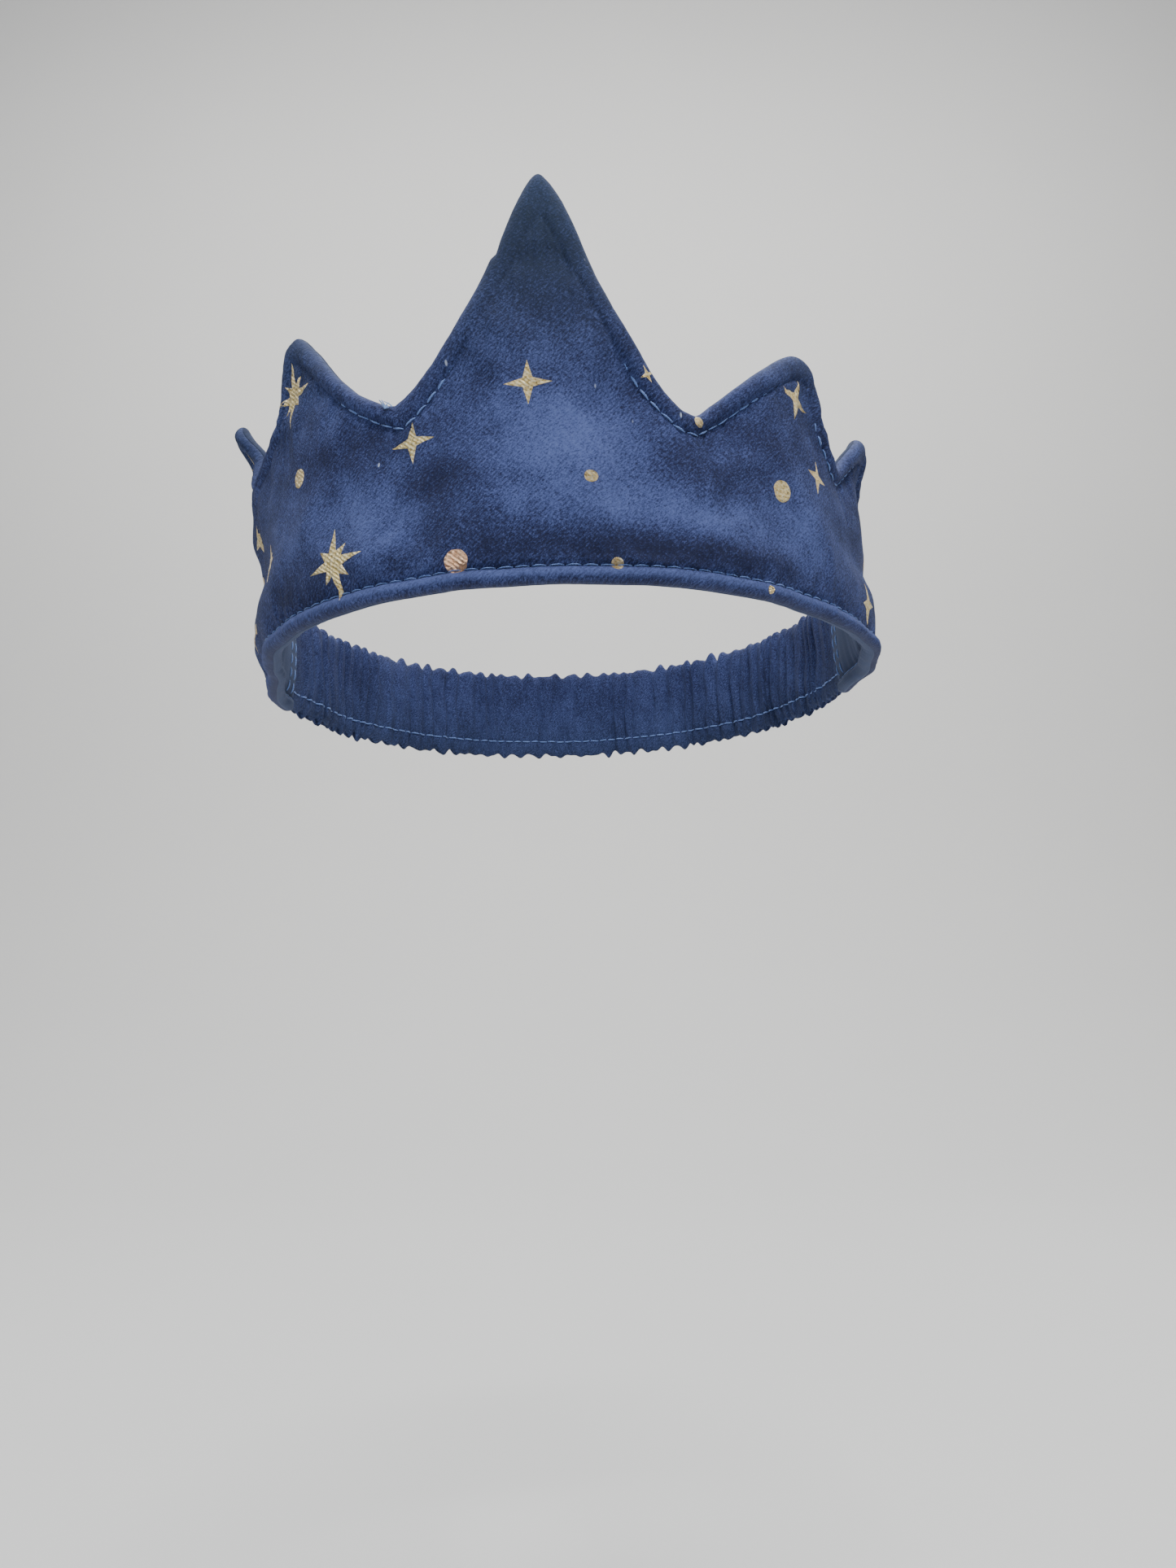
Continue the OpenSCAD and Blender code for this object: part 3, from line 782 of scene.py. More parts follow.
def sewing_thread(name, colour):
    """Twisted thread with a little fuzz."""
    f = Finish(name, Roughness=0.6, Sheen_Weight=0.25, Specular_IOR_Level=0.45)
    p = f.object_mm()
    ply = f.noise(p, 5.0, 3.0, 0.6)
    fuzz = f.noise(p, 14.0, 2.0)
    light = tuple(min(1.0, c * 1.9 + 0.03) for c in colour)
    dark = tuple(c * 0.55 for c in colour)
    base = f.mix(ply.smooth(0.35, 0.62), dark, colour)
    base = f.mix(fuzz.smooth(0.5, 0.72) * 0.7, base, light)
    return f.out(Base_Color=base, Roughness=0.5 + fuzz * 0.2, Normal=f.bump(ply + fuzz * 0.5, 0.00015, 0.7))


def soft_fleece(name):
    """White fluffy padding."""
    f = Finish(name, Roughness=0.95, Sheen_Weight=0.4)
    p = f.object_mm()
    fluff = f.noise(p, 0.8, 5.0, 0.7, 0.5)
    base = f.mix(fluff, (0.62, 0.61, 0.57), (0.88, 0.88, 0.85))
    return f.out(Base_Color=base, Normal=f.bump(fluff, 0.0008, 0.8))


def woven_elastic(name):
    """Dark webbing with fine ribs along it."""
    f = Finish(name, Roughness=0.7, Sheen_Weight=0.15)
    p = f.flat_mm()
    x, y, _ = f.axes(p)
    rib = (y * (2 * math.pi / 1.1)).sin() * 0.5 + 0.5
    pick = (x * (2 * math.pi / 0.9)).sin() * 0.5 + 0.5
    fuzz = f.noise(p, 2.6, 3.0)
    tone = (rib * 0.5 + pick * 0.3 + fuzz * 0.4 - 0.2).clip()
    base = f.mix(tone, (0.006, 0.006, 0.010), (0.045, 0.05, 0.075))
    return f.out(Base_Color=base, Normal=f.bump(rib + pick * 0.5, 0.0002, 0.7))


def pale_stage(name, tint):
    """Matt paper, a little uneven."""
    f = Finish(name, Roughness=0.8, Specular_IOR_Level=0.2)
    p = f.object_mm()
    soft = f.noise(p, 0.004, 2.0)
    grain = f.noise(p, 0.6, 3.0)
    base = f.mix(soft * 0.5 + grain * 0.1, tuple(c * 0.93 for c in tint), tint)
    return f.out(Base_Color=base, Normal=f.bump(grain, 0.0003, 0.15))


# ---------------------------------------------------------------- geometry node helpers
class Tree:
    """A Geometry Nodes tree with named inputs."""

    def __init__(self, name, sizes):
        self.t = bpy.data.node_groups.new(name, "GeometryNodeTree")
        face = self.t.interface
        face.new_socket("Geometry", in_out="INPUT", socket_type="NodeSocketGeometry")
        self.ids = {}
        for key, (kind, value) in sizes.items():
            sock = face.new_socket(key, in_out="INPUT", socket_type="NodeSocket" + kind)
            if value is not None:
                sock.default_value = value
            self.ids[key] = sock.identifier
        face.new_socket("Geometry", in_out="OUTPUT", socket_type="NodeSocketGeometry")
        self.inp = self.t.nodes.new("NodeGroupInput")
        self.outp = self.t.nodes.new("NodeGroupOutput")

    def __getitem__(self, key):
        return self.inp.outputs[key]

    def node(self, kind, settings=None, inputs=None):
        n = self.t.nodes.new(kind)
        for k, v in (settings or {}).items():
            setattr(n, k, v)
        for k, v in (inputs or {}).items():
            self.link(v, n.inputs[k])
        return n

    def random(self, low, high):
        """A number between low and high for each instance, from the tree's seed."""
        sizes = {2: low, 3: high, "Seed": self["Seed"]}
        return self.node("FunctionNodeRandomValue", {"data_type": "FLOAT"}, sizes).outputs[1]

    def turn_about_z(self, angle):
        euler = self.node("ShaderNodeCombineXYZ", {}, {2: angle}).outputs[0]
        return self.node("FunctionNodeEulerToRotation", {}, {0: euler}).outputs[0]

    def shape(self, key):
        """The mesh of the object given to the tree under this name."""
        return self.node("GeometryNodeObjectInfo", {}, {"Object": self[key]}).outputs["Geometry"]

    def copies(self, points, shape, turn, size):
        """The shape set down at every point, as real geometry."""
        inst = self.node("GeometryNodeInstanceOnPoints", {}, {
            "Points": points, "Instance": shape, "Rotation": turn, "Scale": size}).outputs[0]
        return self.node("GeometryNodeRealizeInstances", {}, {"Geometry": inst}).outputs[0]

    def math(self, operation, a, b):
        return self.node("ShaderNodeMath", {"operation": operation}, {0: a, 1: b}).outputs[0]

    def vec(self, operation, a, b=None, scale=None):
        n = self.node("ShaderNodeVectorMath", {"operation": operation}, {0: a})
        if b is not None:
            self.link(b, n.inputs[1])
        if scale is not None:
            self.link(scale, n.inputs["Scale"])
        return n.outputs[0]

    def link(self, v, sock):
        """Links another node's output to a socket, or sets a plain value on it."""
        if isinstance(v, bpy.types.NodeSocket):
            self.t.links.new(v, sock)
        else:
            sock.default_value = v

    def wrap(self, geometry):
        """Lays flat geometry (s, h, height in metres) onto the mapped cloth and keeps its flat map."""
        pos = self.node("GeometryNodeInputPosition").outputs[0]
        xyz = self.node("ShaderNodeSeparateXYZ", {}, {0: pos})
        k = 1.0 / (FLAT_SPAN * MM)
        u = self.math("MULTIPLY_ADD", xyz.outputs[0], k)
        u.node.inputs[2].default_value = FLAT_S0 / FLAT_SPAN
        v = self.math("MULTIPLY_ADD", xyz.outputs[1], k)
        v.node.inputs[2].default_value = FLAT_H0 / FLAT_SPAN
        uv = self.node("ShaderNodeCombineXYZ", {}, {0: u, 1: v}).outputs[0]
        mesh = self.shape("Cloth")
        named = self.node("GeometryNodeInputNamedAttribute", {"data_type": "FLOAT_VECTOR"}, {"Name": "flat"})
        source = named.outputs[0]

        def look(value, at):
            """The cloth's value at a place on its flat map, and whether that place is on the cloth."""
            n = self.node("GeometryNodeSampleUVSurface", {"data_type": "FLOAT_VECTOR"})
            inputs = {s.name: s for s in n.inputs if s.enabled}
            self.link(mesh, inputs["Mesh"])
            self.link(value, inputs["Value"])
            self.link(source, inputs.get("UV Map") or inputs.get("Source UV Map"))
            self.link(at, inputs["Sample UV"])
            outputs = {s.name: s for s in n.outputs if s.enabled}
            return outputs["Value"], outputs["Is Valid"]

        def sample(value):
            """A place that falls between two faces is missed, so a second look lands a hair beside it."""
            first, hit = look(value, uv)
            second, _ = look(value, self.vec("ADD", uv, (3.1e-6, 4.7e-6, 0.0)))
            choice = {"Switch": hit, "False": second, "True": first}
            return self.node("GeometryNodeSwitch", {"input_type": "VECTOR"}, choice).outputs[0]
        spot = sample(self.node("GeometryNodeInputPosition").outputs[0])
        normal = sample(self.node("GeometryNodeInputNormal").outputs[0])
        unit = self.vec("NORMALIZE", normal)
        target = self.vec("ADD", spot, self.vec("SCALE", unit, scale=xyz.outputs[2]))
        stored = self.node("GeometryNodeStoreNamedAttribute", {"data_type": "FLOAT2", "domain": "CORNER"},
                           {"Geometry": geometry, "Name": "flat", "Value": uv}).outputs[0]
        sizes = {"Geometry": stored, "Position": target}
        return self.node("GeometryNodeSetPosition", {}, sizes).outputs[0]

    def finish(self, geometry):
        """Puts on the material and ends the tree."""
        real = self.node("GeometryNodeRealizeInstances", {}, {"Geometry": geometry}).outputs[0]
        sizes = {"Geometry": real, "Material": self["Material"]}
        done = self.node("GeometryNodeSetMaterial", {}, sizes).outputs[0]
        self.t.links.new(done, self.outp.inputs[0])


def stitch_tree():
    """Stitches at even steps along a flat path, wrapped onto the cloth."""
    t = Tree("stitches_along_path", {
        "Count": ("Int", 10), "Stitch": ("Object", None), "Cloth": ("Object", None),
        "Material": ("Material", None), "Length": ("Float", 0.0026), "Width": ("Float", 0.0004),
        "Seed": ("Int", 4)})
    curve = t.node("GeometryNodeMeshToCurve", {}, {"Mesh": t["Geometry"]}).outputs[0]
    points = t.node("GeometryNodeCurveToPoints", {"mode": "COUNT"}, {"Curve": curve, "Count": t["Count"]})
    turn = t.node("FunctionNodeAlignRotationToVector", {"axis": "X", "pivot_axis": "Z"},
                  {"Vector": points.outputs["Tangent"]}).outputs[0]
    spin = t.turn_about_z(t.random(-0.07, 0.07))
    turn = t.node("FunctionNodeRotateRotation", {"rotation_space": "LOCAL"}, {0: turn, 1: spin}).outputs[0]
    length = t.math("MULTIPLY", t["Length"], t.random(0.92, 1.06))
    size = t.node("ShaderNodeCombineXYZ", {}, {0: length, 1: t["Width"], 2: t["Width"]}).outputs[0]
    t.finish(t.wrap(t.copies(points.outputs["Points"], t.shape("Stitch"), turn, size)))
    return t


def print_tree():
    """One printed shape set down at each flat point, sized and turned by the point's attributes."""
    t = Tree("printed_shapes", {
        "Shape": ("Object", None), "Cloth": ("Object", None), "Material": ("Material", None),
        "Seed": ("Int", 2)})

    def attribute(name, kind):
        n = t.node("GeometryNodeInputNamedAttribute", {"data_type": kind}, {"Name": name})
        return next(o for o in n.outputs if o.enabled and o.name == "Attribute")
    angle = t.math("ADD", attribute("turn", "FLOAT"), t.random(-0.04, 0.04))
    size = attribute("size", "FLOAT_VECTOR")
    t.finish(t.wrap(t.copies(t["Geometry"], t.shape("Shape"), t.turn_about_z(angle), size)))
    return t


def grow(name, source, tree, values):
    """Runs a tree on a mesh and returns the result as a plain mesh object."""
    mod = source.modifiers.new("grow", "NODES")
    mod.node_group = tree.t
    for key, v in values.items():
        mod[tree.ids[key]] = v
    got = bpy.data.meshes.new_from_object(source.evaluated_get(bpy.context.evaluated_depsgraph_get()))
    got.name = name
    source.modifiers.remove(mod)
    bpy.data.objects.remove(source)
    ob = add_object(name, got)
    if not len(got.polygons):
        raise RuntimeError(name + " came out empty")
    # a point that missed the cloth is left near the origin
    lost = {v.index for v in got.vertices if v.co.length < LOST_REACH}
    if lost:
        places = set()
        for corner in got.loops:
            if corner.vertex_index in lost:
                u, v = got.uv_layers["flat"].data[corner.index].uv
                places.add((round(u * FLAT_SPAN - FLAT_S0, 3), round(v * FLAT_SPAN - FLAT_H0, 3)))
        raise RuntimeError("%s: %d points missed the cloth at %s" % (name, len(lost), sorted(places)))
    return ob


def path_object(points, heights):
    """A flat path of (s, h) points in millimetres with a height each in metres, as an edge mesh."""
    mesh = bpy.data.meshes.new("path")
    verts = [(s * MM, h * MM, z) for (s, h), z in zip(points, heights)]
    mesh.from_pydata(verts, [(i, i + 1) for i in range(len(verts) - 1)], [])
    return add_object("path", mesh)


def points_object(items):
    """Flat points with a size, a turn and a tone each."""
    mesh = bpy.data.meshes.new("places")
    mesh.from_pydata([(i[0] * MM, i[1] * MM, 0.0) for i in items], [], [])
    sizes = mesh.attributes.new("size", "FLOAT_VECTOR", "POINT")
    sizes.data.foreach_set("vector", [c for i in items for c in (i[2] * MM, i[3] * MM, MM)])
    turns = mesh.attributes.new("turn", "FLOAT", "POINT")
    turns.data.foreach_set("value", [math.radians(i[4]) for i in items])
    tones = mesh.attributes.new("tone", "FLOAT", "POINT")
    tones.data.foreach_set("value", [i[5] for i in items])
    return add_object("places", mesh)


def stitch_shape():
    """One two-ply stitch of unit length and width: a bowed capsule whose ends sink into the cloth."""
    rings, sides = 9, 6
    verts, faces = [], []
    for i in range(rings):
        t = i / (rings - 1)
        rise = 0.42 * math.sin(math.pi * t) ** 0.6 - 0.28
        fat = 0.5 * (0.35 + 0.65 * math.sin(math.pi * min(max(t, 0.02), 0.98)) ** 0.5)
        fat *= 1 + 0.12 * math.cos(t * 2 * math.pi * 3)
        for k in range(sides):
            a = 2 * math.pi * k / sides + t * 5.0
            verts.append((t - 0.5, fat * math.cos(a), rise + fat * 0.9 * math.sin(a)))
    for i in range(rings - 1):
        for k in range(sides):
            a, b = i * sides + k, i * sides + (k + 1) % sides
            faces.append((a, a + sides, b + sides, b))
    ends = [tuple(range(sides)), tuple(reversed(range((rings - 1) * sides, rings * sides)))]
    return add_solid("stitch_shape", verts, faces + ends)


def plate_shape(name, radius, lift, rings=7, spokes=96):
    """A thin closed plate of unit half-width whose rim follows radius(angle), fine enough to drape."""
    angle = np.arange(spokes) * 2 * math.pi / spokes
    rim = np.array([radius(a) for a in angle])
    verts = []
    for level in (lift, -0.06):
        verts.append((0, 0, level))
        for k in range(1, rings + 1):
            q = k / rings
            drop = 0.35 * lift if (level > 0 and k == rings) else 0.0
            verts += [(q * r * math.cos(a), q * r * math.sin(a), level - drop) for a, r in zip(angle, rim)]
    m = 1 + rings * spokes
    faces = []
    for base, up in ((0, True), (m, False)):
        for i in range(spokes):
            j = (i + 1) % spokes
            tri = (base, base + 1 + i, base + 1 + j)
            faces.append(tri if up else tri[::-1])
            for k in range(rings - 1):
                a, b = base + 1 + k * spokes + i, base + 1 + k * spokes + j
                quad = (a, a + spokes, b + spokes, b)
                faces.append(quad if up else quad[::-1])
    last = 1 + (rings - 1) * spokes
    for i in range(spokes):
        j = (i + 1) % spokes
        faces.append((last + i, m + last + i, m + last + j, last + j))
    return add_solid(name, verts, faces)


def star_radius(points, inner, short=None):
    """Rim of a star with straight-sided rays, their tips cut blunt, and shorter rays between if asked."""
    blunt = 0.9
    n = points * (2 if short else 1)
    step = math.pi / n
    corners = []
    for k in range(2 * n):
        r = inner if k % 2 else (1.0 if not short or (k // 2) % 2 == 0 else short)
        corners.append((r * math.cos(k * step), r * math.sin(k * step)))

    def radius(a):
        k = int(a / step) % (2 * n)
        (x0, y0), (x1, y1) = corners[k], corners[(k + 1) % (2 * n)]
        c, s = math.cos(a), math.sin(a)
        den = (x1 - x0) * s - (y1 - y0) * c
        reach = (x1 * y0 - x0 * y1) / -den if abs(den) > 1e-9 else math.hypot(x0, y0)
        return min(blunt, reach) / blunt
    return radius


def ragged(a):
    """Rim of a dot that isn't quite round."""
    return 0.985 + 0.018 * math.sin(3 * a + 1.0) + 0.014 * math.sin(7 * a) + 0.008 * math.sin(17 * a + 2.0)


# what one piece leaves for the next: the guides to sew on, the stitch lines and the outer cloth's depth
SEWN = {}


def keep(key, grid, uv, flip=False):
    """Remembers a finished cloth face as a single mapped surface that stitches and foil can be laid on."""
    faces = grid_faces(*grid.shape[:2], flip=flip)
    guide = new_mesh_object(key + "_guide", grid.reshape(-1, 3), faces, uv.reshape(-1, 2))
    guide.hide_render = True
    SEWN[key] = guide


def wear(ob, material):
    """Gives a piece its one material."""
    ob.data.materials.append(material)


def mark_points(ob, name, values):
    """A number for each point of a closed sheet, the same on its front and its back."""
    mark = ob.data.attributes.new(name, "FLOAT", "POINT")
    mark.data.foreach_set("value", np.tile(values.ravel(), 2).astype(np.float32))


def back_blend(ob):
    """Bakes the piece's placement into its mesh."""
    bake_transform(ob)


def move_with(ob, body):
    """Pieces on the panel ride the crown, and those on the casing have their placement baked into their mesh.
    """
    if body == "crown":
        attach(ob, "crown")
    else:
        back_blend(ob)


def cloth_sizes(settings, seed, pitch):
    """What panel_grid needs, in millimetres."""
    return dict(pitch=pitch, seed=seed, roll=settings.roll / MM, pucker=settings.pucker / MM,
                puff=settings.puff / MM)


# ---------------------------------------------------------------- operators
class CROWN_OT_outer(bpy.types.Operator):
    """Sew the brushed outer cloth of the front panel, puffed by its padding"""
    bl_idname = "crown.outer_cloth"
    bl_label = "Outer cloth"

    def execute(self, context):
        st = context.scene.crown_cloth
        cloth = cloth_sizes(st, 1, context.scene.crown_thread.pitch / MM)
        push = simulate_padding(cloth)
        flat, depth, stitch, base = panel_grid(FINE_STEPS, FIELD_ROWS, push, cloth)
        relief = sewn_set(flat[..., 0], flat[..., 1])
        grid = lay(flat, depth - relief)
        uv = flat_uv(flat)
        ob = closed_sheet("outer_cloth", grid, uv, st.cloth_t)
        # painted light and shade on the rolled edges, row by row: lighter on the front of the lower roll and
        # on the outer rim of the upper roll, painted shade on the lower roll's underside
        share = roll_rows(ROLL_ROWS)[0][1:]
        low = 1.5 * swell(share, 0.4, 0.28) - 0.9 * ease((share - 0.72) / 0.28)
        top = 0.45 * ease((share - 0.55) / 0.45)
        edge_painted_shading = np.concatenate([low[::-1], np.zeros(FIELD_ROWS), top])
        mark_points(ob, "rolled_edge_painted_shading", np.repeat(edge_painted_shading, flat.shape[1]))
        # painted light and shade on the face, partly the nap's lie, kept on the points
        mark_points(ob, "nap", painted_light_and_nap(flat[..., 0], flat[..., 1]))
        keep("outer", grid, uv)
        SEWN["lines"] = (stitch, base, outline(0, FINE_STEPS))
        wear(ob, brushed_cotton("navy_brushed_cotton", st.navy_deep, st.navy, st.navy_light))
        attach(ob, "crown")
        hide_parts("outer_panel")
        SEWN["outer_depth"] = (flat, depth, relief)
        return {"FINISHED"}


class CROWN_OT_lining(bpy.types.Operator):
    """Sew the plain lining that faces the head"""
    bl_idname = "crown.lining_cloth"
    bl_label = "Lining cloth"

    def execute(self, context):
        st = context.scene.crown_cloth
        cloth = cloth_sizes(st, 31, context.scene.crown_thread.pitch / MM)
        cloth["puff"] *= 0.6
        cloth["pucker"] *= 1.3
        flat, depth, _, _ = panel_grid(FINE_STEPS, FIELD_ROWS, None, cloth)
        grid = lay(flat, PANEL_T - depth - sewn_set(flat[..., 0], flat[..., 1]))
        uv = flat_uv(flat)
        ob = closed_sheet("lining_cloth", grid, uv, st.cloth_t, flip=True)
        keep("lining", grid, uv, flip=True)
        cotton = lining_cotton("navy_lining_cotton", (0.006, 0.010, 0.030), (0.016, 0.030, 0.085))
        wear(ob, cotton)
        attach(ob, "crown")
        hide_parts("lining_panel")
        return {"FINISHED"}


class CROWN_OT_fleece(bpy.types.Operator):
    """Lay the fleece between the two cloths"""
    bl_idname = "crown.fleece_pad"
    bl_label = "Fleece padding"

    def execute(self, context):
        flat, depth, relief = SEWN["outer_depth"]
        # a coarser grid than the cloth's, a few rows inside the stitches and clear of the ends
        rows = slice(FIELD_START + 4, FIELD_START + FIELD_ROWS - 4, 2)
        cols = slice(30, flat.shape[1] - 30, 3)
        inner, d, out = flat[rows, cols], depth[rows, cols], relief[rows, cols]
        front = lay(inner, np.minimum(d + 1.0, PANEL_T / 2 - 0.4) - out)
        back = lay(inner, PANEL_T - 0.9 - out)
        verts = np.concatenate([front.reshape(-1, 3), back.reshape(-1, 3)])
        ob = new_mesh_object("fleece_pad", verts, sheet_faces(*front.shape[:2]))
        wear(ob, soft_fleece("white_fleece"))
        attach(ob, "crown")
        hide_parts("fleece_interlining")
        return {"FINISHED"}


class CROWN_OT_threads(bpy.types.Operator):
    """Run every row of stitches along its line"""
    bl_idname = "crown.stitching"
    bl_label = "Stitching"

    def execute(self, context):
        st = context.scene.crown_thread
        tree, shape = stitch_tree(), stitch_shape()
        thread = sewing_thread("blue_sewing_thread", st.colour)
        stitch, base, edge = SEWN["lines"]
        pitch = st.pitch / MM
        # the share of each step that the thread covers before it dips into the cloth
        cover = 0.86

        def row(name, path, cloth, nodes, seed, step=pitch, sink=0.0, width=1.0, body="crown", deep=0.0):
            """One row of stitches, sunk by some mm. deep adds to that on the points and on the -X side."""
            points = np.asarray(path, float)
            heights = []
            for s, h in points:
                hidden = ease((h - 36.0) / 10.0) * ease((abs(abs(s) - VALLEY_S) - 6.0) / 6.0)
                hidden = deep * max(hidden, ease((-s - 58.0) / 8.0) * ease((112.0 + s) / 8.0))
                heights.append(st.width * 0.25 - (sink + hidden) * MM)
            count = max(2, int(round(run_length(points)[-1] / step)))
            ob = grow(name, path_object(points, heights), tree, {
                "Count": count, "Stitch": shape, "Cloth": SEWN[cloth], "Material": thread,
                "Length": step * cover * MM, "Width": st.width * width, "Seed": seed})
            move_with(ob, body)
            if nodes:
                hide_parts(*nodes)

        def clip(path):
            """The part of a line that lies between the panel's ends."""
            return path[np.abs(path[:, 0]) < END_S - 1.5]
        row("top_topstitch_outside", clip(stitch), "outer", ["top_edge_topstitch"], 3, sink=-0.08, deep=0.5)
        row("top_topstitch_inside", clip(stitch), "lining", [], 5)
        row("bottom_topstitch_outside", clip(base), "outer", ["bottom_edge_topstitch"], 7, sink=-0.12)
        row("bottom_topstitch_inside", clip(base), "lining", [], 9)
        seam = dict(step=2.6, sink=1.1, width=0.7)
        top_seam = clip(edge * 0.8 + stitch * 0.2)
        row("top_seam_stitches", top_seam, "outer", ["top_seam_thread"], 11, **seam)
        bottom_seam = clip(np.stack([base[:, 0], np.full(len(base), 0.55)], 1))
        row("bottom_seam_stitches", bottom_seam, "outer", ["bottom_seam_thread"], 13, **seam)
        for side, word in ((-1, "left"), (1, "right")):
            for k, inset in enumerate((3.0, 6.5)):
                line = [[side * (END_S - inset), h] for h in np.linspace(5.4, 23.6, 24)]
                nodes = [word + "_end_stitching"] if k == 0 else []
                row("%s_end_row_%d_outside" % (word, k + 1), line, "outer", nodes, 21 + k)
                row("%s_end_row_%d_inside" % (word, k + 1), line, "lining", [], 25 + k)
            zigzag = [[side * (END_S - 9.0) + (1.0 if i % 2 else -1.0), 7 + i * 1.2] for i in range(14)]
            row(word + "_anchor_zigzag", zigzag, "outer", [word + "_elastic_anchor"], 31, step=2.3, sink=1.35)
        hem = np.stack([np.linspace(BACK_A + 9, BACK_B - 9, 260), np.full(260, HEM_H)], 1)
        row("casing_seam_inside", hem, "casing_in", ["casing_seam_stitching"], 41, step=3.0, body="both")
        tail = thread_tail()
        wear(tail, sewing_thread("pale_thread_end", (0.22, 0.38, 0.80)))
        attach(tail, "crown")
        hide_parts("loose_thread")
        bpy.data.objects.remove(shape)
        return {"FINISHED"}


def thread_tail():
    """The cut tail of the seam's thread: a few fibres at the valley on the -X side."""
    rng = np.random.default_rng(17)
    fibres, steps, sides = 5, 9, 5
    verts, faces = [], []
    for fibre in range(fibres):
        start = np.array([-VALLEY_S - 0.6 + rng.uniform(-1.0, 1.0), VALLEY_H + 2.4, 0.2])
        bend, reach = rng.uniform(-1.6, 1.6, 3), rng.uniform(1.2, 2.0)
        for i in range(steps):
            t = i / (steps - 1)
            s, h, d = start + np.array([-0.45 * reach * t + 0.9 * bend[0] * t * t, reach * t,
                                        0.8 * bend[2] * t * t])
            r = 0.2 * (1 - 0.4 * t)
            for q in range(sides):
                a = 2 * math.pi * q / sides
                verts.append(place(s + r * math.cos(a), h + 0.2 * r, d + r * math.sin(a)))
        first = fibre * steps * sides
        for i in range(steps - 1):
            for q in range(sides):
                a, b = first + i * sides + q, first + i * sides + (q + 1) % sides
                faces.append((a, a + sides, b + sides, b))
        last = first + (steps - 1) * sides
        faces.append(tuple(first + q for q in range(sides)))
        faces.append(tuple(last + q for q in reversed(range(sides))))
    tail = add_solid("loose_thread_tail", [tuple(v) for v in np.array(verts).reshape(-1, 3)], faces)
    turn_outwards(tail.data)
    return tail


def turn_outwards(mesh):
    """Turns every face of a closed mesh outwards and shades it smooth."""
    bm = bmesh.new()
    bm.from_mesh(mesh)
    bmesh.ops.recalc_face_normals(bm, faces=bm.faces)
    for f in bm.faces:
        f.smooth = True
    bm.to_mesh(mesh)
    bm.free()


# flat centre (s, h), width and height in mm, turn in degrees, tone (0 gold, 1 rose)
FOUR_POINT = [
    (-2.9, 39.1, 8.3, 8.1, 2, 0.1), (-26.4, 30.6, 8.5, 8.2, 4, 0.0), (57.4, 45.0, 8.4, 9.2, -18, 0.1),
    (63.0, 29.6, 6.4, 7.2, -10, 0.2), (88.5, 8.6, 7.6, 8.6, 8, 0.0), (-94, 31, 8.2, 8.4, 12, 0.1),
    (20.1, 41.6, 2.6, 3.4, 25, 0.1), (-108, 12, 7.2, 7.6, -6, 0.2), (121, 25.5, 7.0, 7.6, 20, 0.0),
    (-127, 22, 6.2, 6.6, 0, 0.1), (124, 10, 7.2, 7.6, 5, 0.0),
]
EIGHT_POINT = [
    (-43.6, 9.3, 13.2, 13.4, 7, 0.0), (-61.4, 51.3, 12.8, 13.4, 0, 0.0), (-74.0, 18.4, 6.8, 8.0, 4, 0.1),
    (107.6, 33.5, 8.8, 10.4, 10, 0.1), (-105.5, 51.5, 8.6, 10.4, -4, 0.0), (112, 15, 8.2, 9.4, 3, 0.2),
    (-118, 26, 9.8, 11.6, 8, 0.1),
]
# flat centre (s, h), diameter in mm, tone
DOTS = [
    (-16.7, 4.9, 4.6, 1.0), (8.3, 19.9, 2.6, 0.2), (12.7, 3.4, 2.4, 0.3), (30.8, 33.6, 2.2, 0.2),
    (50.8, 23.3, 4.5, 0.1), (-57.2, 31.4, 4.0, 0.2), (-92, 9, 2.4, 0.2), (-100, 22, 4.0, 0.3),
    (131.5, 24.0, 2.2, 0.1), (44.7, 1.5, 1.6, 0.2), (-112, 38, 2.4, 0.1), (105, 24, 3.8, 0.2),
    (117, 31, 2.4, 0.2), (129.5, 17.5, 3.8, 0.3),
]


